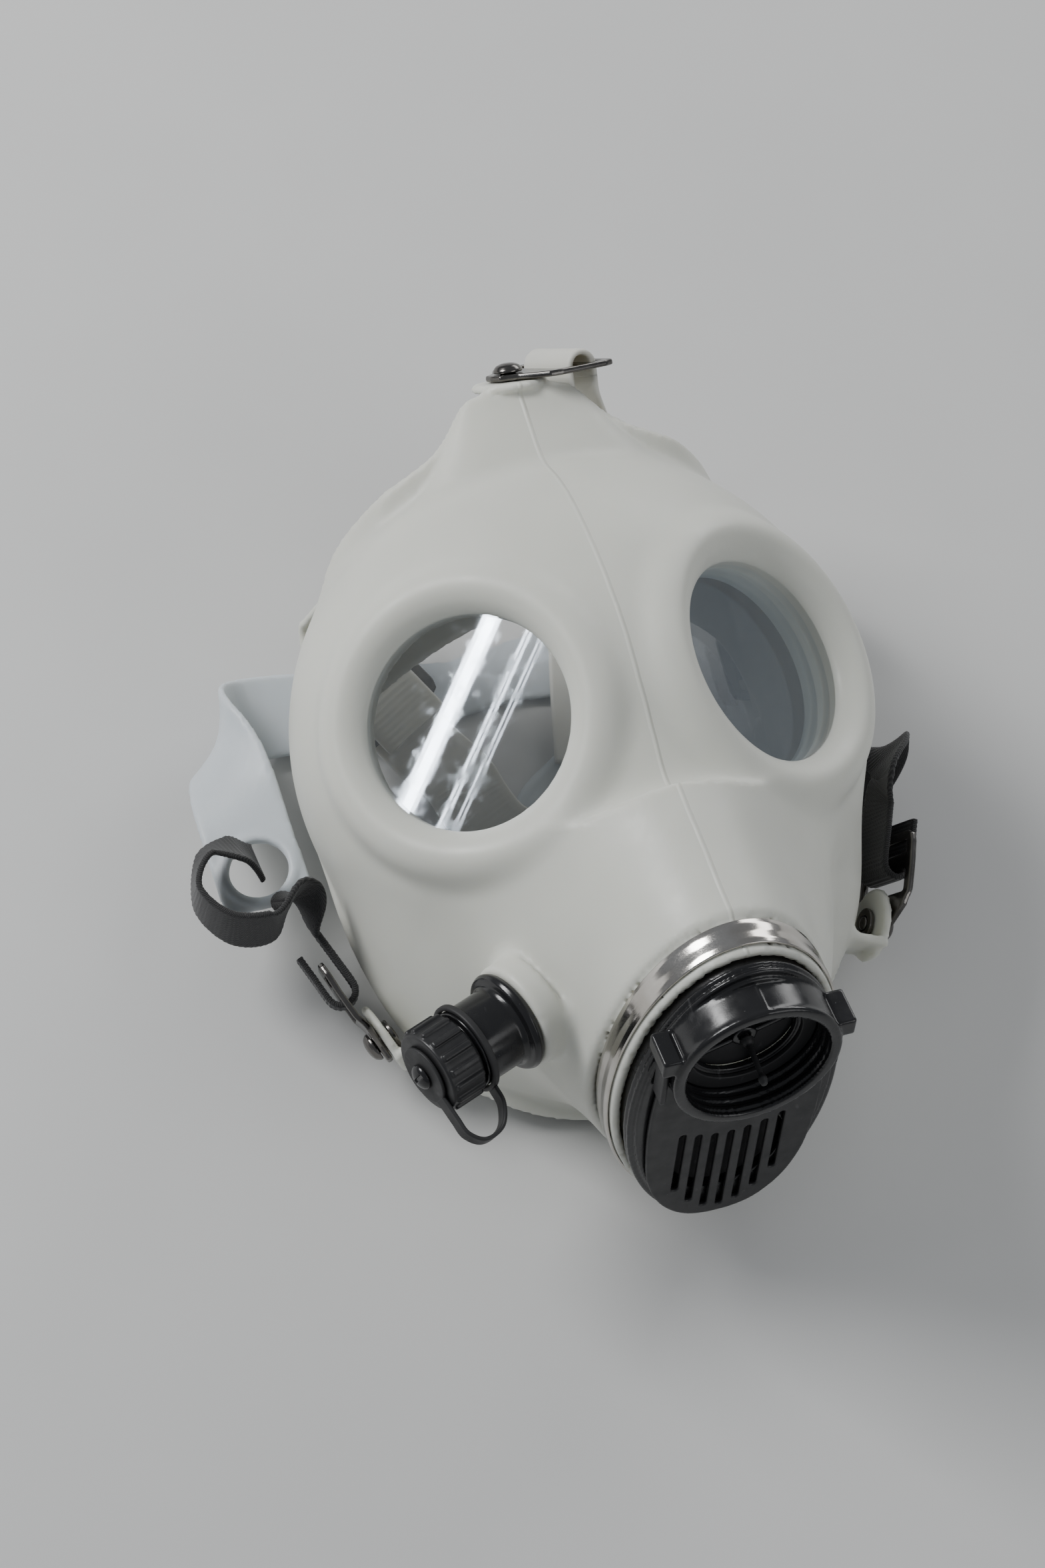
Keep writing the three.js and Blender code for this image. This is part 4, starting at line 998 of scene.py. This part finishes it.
def build_port():
    make("valve_housing", net(housing_form, (-31, -83, -31), (31, 29, 1.5), 0.62), PORT_FRAME, gloss_look)
    seat = seat_mesh(COLLAR["bore"] - GAP, 14.6, 3.4, -12.3, -10.6, 4)
    make("inhale_seat", seat, PORT_FRAME, gloss_look)
    make("collar_gasket", ring(15.4, 19.6, -10.3, -8.9), PORT_FRAME, rubber_look)
    stem = lathe([
        (0, -14.2), (15.2, -13.5), (15.2, -13.1), (1.1, -12.9), (1.1, -9.2), (2.1, -9.2), (1.5, -7.9),
        (0.9, -7.2), (0.75, -3), (0.7, 1.4), (1.3, 2.8), (0.8, 4.4), (0, 4.4),
    ], 0.4, 48)
    make("inhale_valve", drooped(stem, -7.2, 11.6, 1.5), PORT_FRAME, rubber_look, "inhale_flap")
    exhale = PORT_FRAME @ Matrix.Translation((0, EXHALE["y"], 0))
    seat = seat_mesh(EXHALE["outer"] - GAP, EXHALE["hole"], 3.2, -13.9, -12.4, 3)
    make("exhale_seat", seat, exhale, satin_look)
    disc = lathe([
        (0, -16.6), (1.7, -16.6), (1.7, -15.6), (1.1, -15.4), (1.1, -12), (15.6, -12), (15.6, -11.6),
        (2, -11.2), (0, -11.2),
    ], 0.2)
    make("exhale_valve", disc, exhale, rubber_look, "exhale_flap")
    cover = net(cover_form, (-26, -79, -10.5), (26, 4, -2.5), 0.45)
    make("exhale_cover", cover, PORT_FRAME, satin_look, "cover")


build_band()
build_port()

# ---- Drinking tube, leash and ribbed cap -------------------------------------------------------------


def cap_form(x, y, z):
    r = np.hypot(x, y)
    angle = np.arctan2(y, x)
    pitch = 2 * math.pi / CAP["ribs"]
    off = (angle / pitch - np.round(angle / pitch)) * pitch * CAP["outer"]
    top = CAP["face"]
    solid = slab(r - CAP["outer"] + 0.9, z, CAP["skirt"], top, 0.8)
    rib = slab(common(np.abs(off) - 0.95, r - CAP["outer"], 0.5), z, CAP["skirt"] + 0.5, top - 1.1, 0.6)
    solid = union(solid, rib, 0.5)
    solid = cut(solid, slab(r - 9.9, z, CAP["skirt"] - 2, 28.3, 0.3), 0.3)
    return cut(solid, r - 1.9, 0.2)


def button_form(x, y, z):
    r = np.hypot(x, y)
    head = ellipsoid(x, y, z - 31.7, 3.6, 3.6, 2.0)
    solid = union(np.maximum(head, 31.7 - z), slab(r - 1.5, z, 28.5, 32, 0.3), 0.3)
    slot = brick(x, y, z, (-0.55, -2.6, 32.6), (0.55, 2.6, 36), 0.2)
    return cut(solid, slot, 0.25)


def build_tube():
    out = 1.2  # just clear of the facepiece's boss
    radius, bore, flange, tip = SPOUT.values()
    groove = ((0, 0), (0.3, 0.3), (0.3, 1.6), (0, 1.9))
    tube = lathe([
        (bore, -8), (8.6, -8), (8.6, out), (flange - 0.6, out), (flange, out + 1.4),
        (flange - 0.7, out + 2.9), (radius + 0.6, out + 3.3), (radius, out + 4.6), (radius, 18.2), (tip, 18.2),
        *[(tip - dip, h + up) for h in (19.6, 23.0) for dip, up in groove], (tip, 26.6), (bore, 26.6),
    ], 0.5)
    cap = net(cap_form, (-13.5, -13.5, 18), (13.5, 13.5, 31), 0.36)
    button = net(button_form, (-4.5, -4.5, 27.5), (4.5, 4.5, 35), 0.25)
    for name, mesh, look, body in (
        ("drink_tube", tube, gloss_look, "mask"),
        ("tube_nut", ring(8.9, 12.6, -7.6, -4.6), satin_look, "mask"),
        ("leash_ring", ring(radius + GAP, 12.9, 15.9, 17.7, 0.6), rubber_look, "mask"),
        ("cap_gasket", ring(6.2, 9, 26.9, 28), rubber_look, "cap"),
        ("tube_cap", cap, satin_look, "cap"),
        ("cap_button", button, gloss_look, "cap_pin"),
        ("leash_eye", ring(1.9, 8.2, 30.3, 31.3), rubber_look, "cap_pin"),
    ):
        make(name, mesh, TUBE_FRAME, look, body)
    route = [
        (12.6, 0, 16.8), (17.5, 0, 17.4), (22.5, 0, 21.5), (22.8, 0, 27.5), (19, 0, 30.6), (14.5, 0, 30.8),
        (11, 0, 30.8), (7.5, 0, 30.8),
    ]
    strip = ribbon([(p, (0, 1, 0)) for p in route], 5.4, 1.1, 90)
    leash = make("cap_leash", strip, TUBE_FRAME, rubber_look, None)
    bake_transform(leash)


build_tube()

# ---- Harness -----------------------------------------------------------------------------------------


def buckle_mesh(joggle):
    """A flat loop with a riveted eye and two slots. joggle is how far it steps out of the eye's plane."""
    half, far = BUCKLE["wide"] / 2, BUCKLE["far"]
    right = [(3.5, -5.2), (6.5, -1), (half - 1, 4.6), (half, 8), (half, far - 3.5), (half - 1, far - 1),
             (half - 3.5, far)]
    outline = [(0, -5.9), *right, *[(-x, y) for x, y in right[::-1]]]
    slots = [(BUCKLE["near"], BUCKLE["bar"][0]), (BUCKLE["bar"][1], BUCKLE["end"])]

    def form(x, y, z):
        shift = GAP + joggle * (smooth_step((y - 5) / 5) - 0.35 * smooth_step((y - 16) / 8))
        flat = outline_form(x, y, outline) - 0.2
        for near, end in slots:
            flat = cut(flat, common(span(x, -half + 3.2, half - 3.2), span(y, near, end), 1.2), 0.4)
        solid = slab(flat, z - shift, 0, BUCKLE["thick"], 0.55)
        return cut(solid, np.hypot(x, y) - RIVET_RADIUS - GAP, 0.3)

    top = BUCKLE["thick"] + joggle + 1.5
    return net(form, (-half - 1.5, -7.5, -1.5), (half + 1.5, far + 1.5, top), 0.42)


# The lengths of a strap's run and tail past its buckle's bar, and whether it drops straight through.
STRAP_ENDS = {"top": (5.5, 7.0, True), "others": (19.0, 14.0, False)}


def strap_route(key, tab, rest):
    """Stations in the face frame: the strap's short tail, its turn round the buckle's bar, then the rest."""
    place = FACE.inverted() @ tab_frame(tab)
    bar_y = sum(BUCKLE["bar"]) / 2
    bar_z = BUCKLE["thick"] / 2 + GAP
    r = (BUCKLE["bar"][1] - BUCKLE["bar"][0]) / 2 + 0.7 + STRAP["thick"] / 2
    turn = [(r * math.cos(a), r * math.sin(a)) for a in np.radians(np.linspace(90, 270, 9))]
    run, tail, dip = STRAP_ENDS.get(key, STRAP_ENDS["others"])
    route = [(tail, r), (tail / 2, r), *turn, (run / 2, -r), (run, -r)]
    if dip:
        route = [(z, -y) for y, z in route[::-1]]
    across = tuple(place.to_3x3() @ Vector((1, 0, 0)))
    return [(tuple(place @ Vector((0, bar_y + y, bar_z + z))), across) for y, z in route] + rest


def over_table(x, y, height):
    z = (height - TABLE_DROP - y * math.sin(PITCH)) / math.cos(PITCH)
    return (x, y, z)


def table_turn(direction):
    """A direction given over the table, in the face frame."""
    x, y, z = direction
    c, s = math.cos(PITCH), math.sin(PITCH)
    return (x, y * c + z * s, z * c - y * s)


def route_over(points):
    """Stations through points given by face-frame x and y and a height over the table."""
    places = [over_table(*p[:3]) for p in points]
    made = []
    for i, p in enumerate(points):
        a, b = places[max(0, i - 1)], places[min(len(places) - 1, i + 1)]
        flat = (b[1] - a[1], a[0] - b[0], 0)
        made.append((places[i], table_turn(p[3]) if len(p) > 3 else flat))
    return made


STRAPS = {
    "top": [
        (25, 90, 70, (0.4, -0.6, 0.65)), (31, 84, 52, (0.7, -0.5, 0.4)), (32, 76, 34, (0.9, -0.3, 0.2)),
        (29, 62, 14, (1, -0.2, 0)), (25, 44, 6.2, (1, -0.15, 0)), (20, 26, 5.2, (1, -0.15, 0)),
        (14, 2, 4.8, (1, -0.2, 0)),
    ],
    "temple_left": [(-28, 5, 9), (-25, -4, 7), (-20, -14, 5), (-8, -24, 4.4)],
    "temple_right": [
        (76, -1, 10), (73, -9, 4.2), (62, -16, 2.6), (48, -20, 3.4), (34, -22, 4.6), (22, -22, 4.8),
    ],
}
WEBBINGS = {
    "cheek_left": [
        (-91, -26, 39, (0.2, 0, 1)), (-99, -33, 38, (0.1, 0.1, 1)), (-110, -31, 37, (0, 0.1, 1)),
        (-117, -20, 38, (0, 0, 1)), (-112, -9, 40.5, (0.1, -0.45, 1)), (-103.5, -9, 39.5, (0.2, -0.9, 0.7)),
        (-97.8, -13, 33.5, (0.2, -1, 0.2)),
    ],
    "cheek_right": [
        (89, -28, 31, (0.1, 0, 1)), (94.5, -21, 27, (0.35, -0.15, 1)), (96, -17, 20, (0.75, -0.3, 0.75)),
        (94, -20, 11, (0.8, -0.55, 0.3)), (85, -29, 3.6, (0.65, -0.75, 0.05)), (71, -37, 1.8, (0.6, -0.8, 0)),
        (55, -47, 1.2, (0.35, -0.95, 0)), (40, -50, 1.2, (0, -1, 0)),
    ],
}
JOGGLES = {"top": 0.0, "temple_left": 0.0, "temple_right": 0.0, "cheek_left": 0.9, "cheek_right": 0.9}


def strap_ribs(across, along):
    """Cross ribs of the silicone straps, which stop short of their edges."""
    inner = np.clip((9.6 - np.abs(across)) / 0.8, 0, 1)
    return 0.28 * inner * (0.5 + 0.5 * np.cos(2 * math.pi * along / 1.9))


def weave_ribs(across, along):
    """Coarse ribs across the webbing, and slanted stitches along its edges."""
    edge = np.clip((np.abs(across) - 6.6) / 0.5, 0, 1)
    ribs = 0.5 + 0.5 * np.cos(2 * math.pi * along / 1.25)
    slant = 0.5 + 0.5 * np.cos(2 * math.pi * (along + 1.4 * np.abs(across)) / 1.25)
    return 0.22 * (ribs * (1 - edge) + slant * edge)


def tangent_flip(stations):
    """Keeps neighbouring width directions on the same side, so that a strip doesn't turn over."""
    made = [stations[0]]
    for point, across in stations[1:]:
        same = sum(a * b for a, b in zip(across, made[-1][1])) >= 0
        made.append((point, across if same else tuple(-a for a in across)))
    return made


def build_buckles():
    thick = TAB["thick"]
    top = BUCKLE["thick"] + 2 * GAP
    profile = [
        (0, -thick - 1.9), (RIVET_RADIUS, -thick - 1.9), (RIVET_RADIUS, top), (4.2, top), (4.2, top + 0.8),
        (3.3, top + 2), (1.6, top + 2.6), (0, top + 2.7),
    ]
    for key, tab in TABS.items():
        place = tab_frame(tab)
        side = key.split("_")
        body = "top_buckle" if key == "top" else f"{side[0]}_buckle_{side[1]}"
        washer = ring(RIVET_RADIUS + GAP, 4.6, -thick - 1.5, -thick - GAP, 0.3, 64)
        make(f"buckle_{key}", buckle_mesh(JOGGLES[key]), place, dark_metal_look, body)
        make(f"rivet_{key}", lathe(profile, 0.7, 64), place, dark_metal_look)
        make(f"washer_{key}", washer, place, dark_metal_look)
        build_strap(key, tab)


def build_strap(key, tab):
    cloth = key.startswith("cheek")
    kit, rest = (WEBBING, WEBBINGS[key]) if cloth else (STRAP, STRAPS[key])
    node = key.replace("cheek", "webbing") if cloth else f"strap_{key}"
    stations = tangent_flip(strap_route(key, tab, route_over(rest)))
    relief = weave_ribs if cloth else (None if key == "top" else strap_ribs)
    length = sum((Vector(b[0]) - Vector(a[0])).length for a, b in zip(stations, stations[1:]))
    steps = int(length / (0.25 if cloth else 0.38))
    mesh = ribbon(stations, kit["wide"], kit["thick"], steps, relief)
    strap = make(f"strap_{key}", mesh, FACE, webbing_look if cloth else strap_look, None,
                 [f"strap_end_{key}", node])
    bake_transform(strap)


PAD = {"x": 10.0, "y": -20.0, "radius": 27.0, "bottom": 0.3, "top": 2.9}
NECK_PAD_RUN = [
    (17, 38, 3, (0, 1, 0)), (-2, 40, 2.4, (-0.1, 1, 0)), (-26, 38, 2.2, (0, 1, 0)), (-48, 36, 5, (0, 1, 0)),
    (-66, 37, 5.4, (0, 1, 0.1)), (-84, 37, 9, (0.1, 1, 0.2)), (-95, 30, 19, (0.5, 0.85, 0.3)),
    (-97, 14, 27, (0.9, 0.4, 0.3)), (-97, -4, 28, (1, 0, 0.2)), (-96, -24, 27, (1, -0.05, 0.2)),
]
NECK_PAD = {"wide": 26.0, "thick": 2.0, "hole": 8.5, "hole_at": (-96.5, -14, 27.6)}


def pad_form(x, y, z):
    lobes = [(0, 0, PAD["radius"]), (-15, -14, 15), (17, -12, 14), (4, 17, 14)]
    flat = np.full(np.broadcast(x, y).shape, 1e3)
    for dx, dy, r in lobes:
        flat = union(flat, np.hypot(x - dx, y - dy) - r, 5)
    rim = 0.5 * bump_line(flat + 2.2, 1.1)
    return common(flat, span(z, PAD["bottom"], PAD["top"] - 0.6) - rim * (z > 1.5), 1.2)


def build_pads():
    x, y, z = over_table(PAD["x"], PAD["y"], 0)
    middle = FACE @ Vector((x, y, z))
    place = Matrix.Translation((middle.x, middle.y, TABLE.translation.z))
    make("head_pad", net(pad_form, (-32, -31, -0.8), (33, 33, 4.2), 0.8), place, thin_look)
    step = 1.0
    low, high = (-118, -38, -100), (24, 66, -56)
    axes = [np.arange(a, b + step, step) for a, b in zip(low, high)]
    patch = strip_patch(route_over(NECK_PAD_RUN), NECK_PAD["wide"] - NECK_PAD["thick"])
    field = sampled(sheet_distance([patch], axes, 5.0), low, step)
    at = over_table(*NECK_PAD["hole_at"])
    hole = FACE @ axes_frame(at, table_turn((1, 0, 0.2)), table_turn((-0.2, 0, 1)))

    def form(x, y, z):
        hx, hy, hz = in_frame(hole, x, y, z)
        r = np.hypot(hx, hy)
        bead = np.hypot(r - NECK_PAD["hole"] - 1.4, hz) - 1.9
        solid = union(field(x, y, z) - NECK_PAD["thick"] / 2, bead, 1.0)
        return cut(solid, np.maximum(r - NECK_PAD["hole"], span(hz, -8, 8)), 0.6)

    make("neck_pad", net(form, low, high, step), FACE, thin_look)


build_buckles()
build_pads()
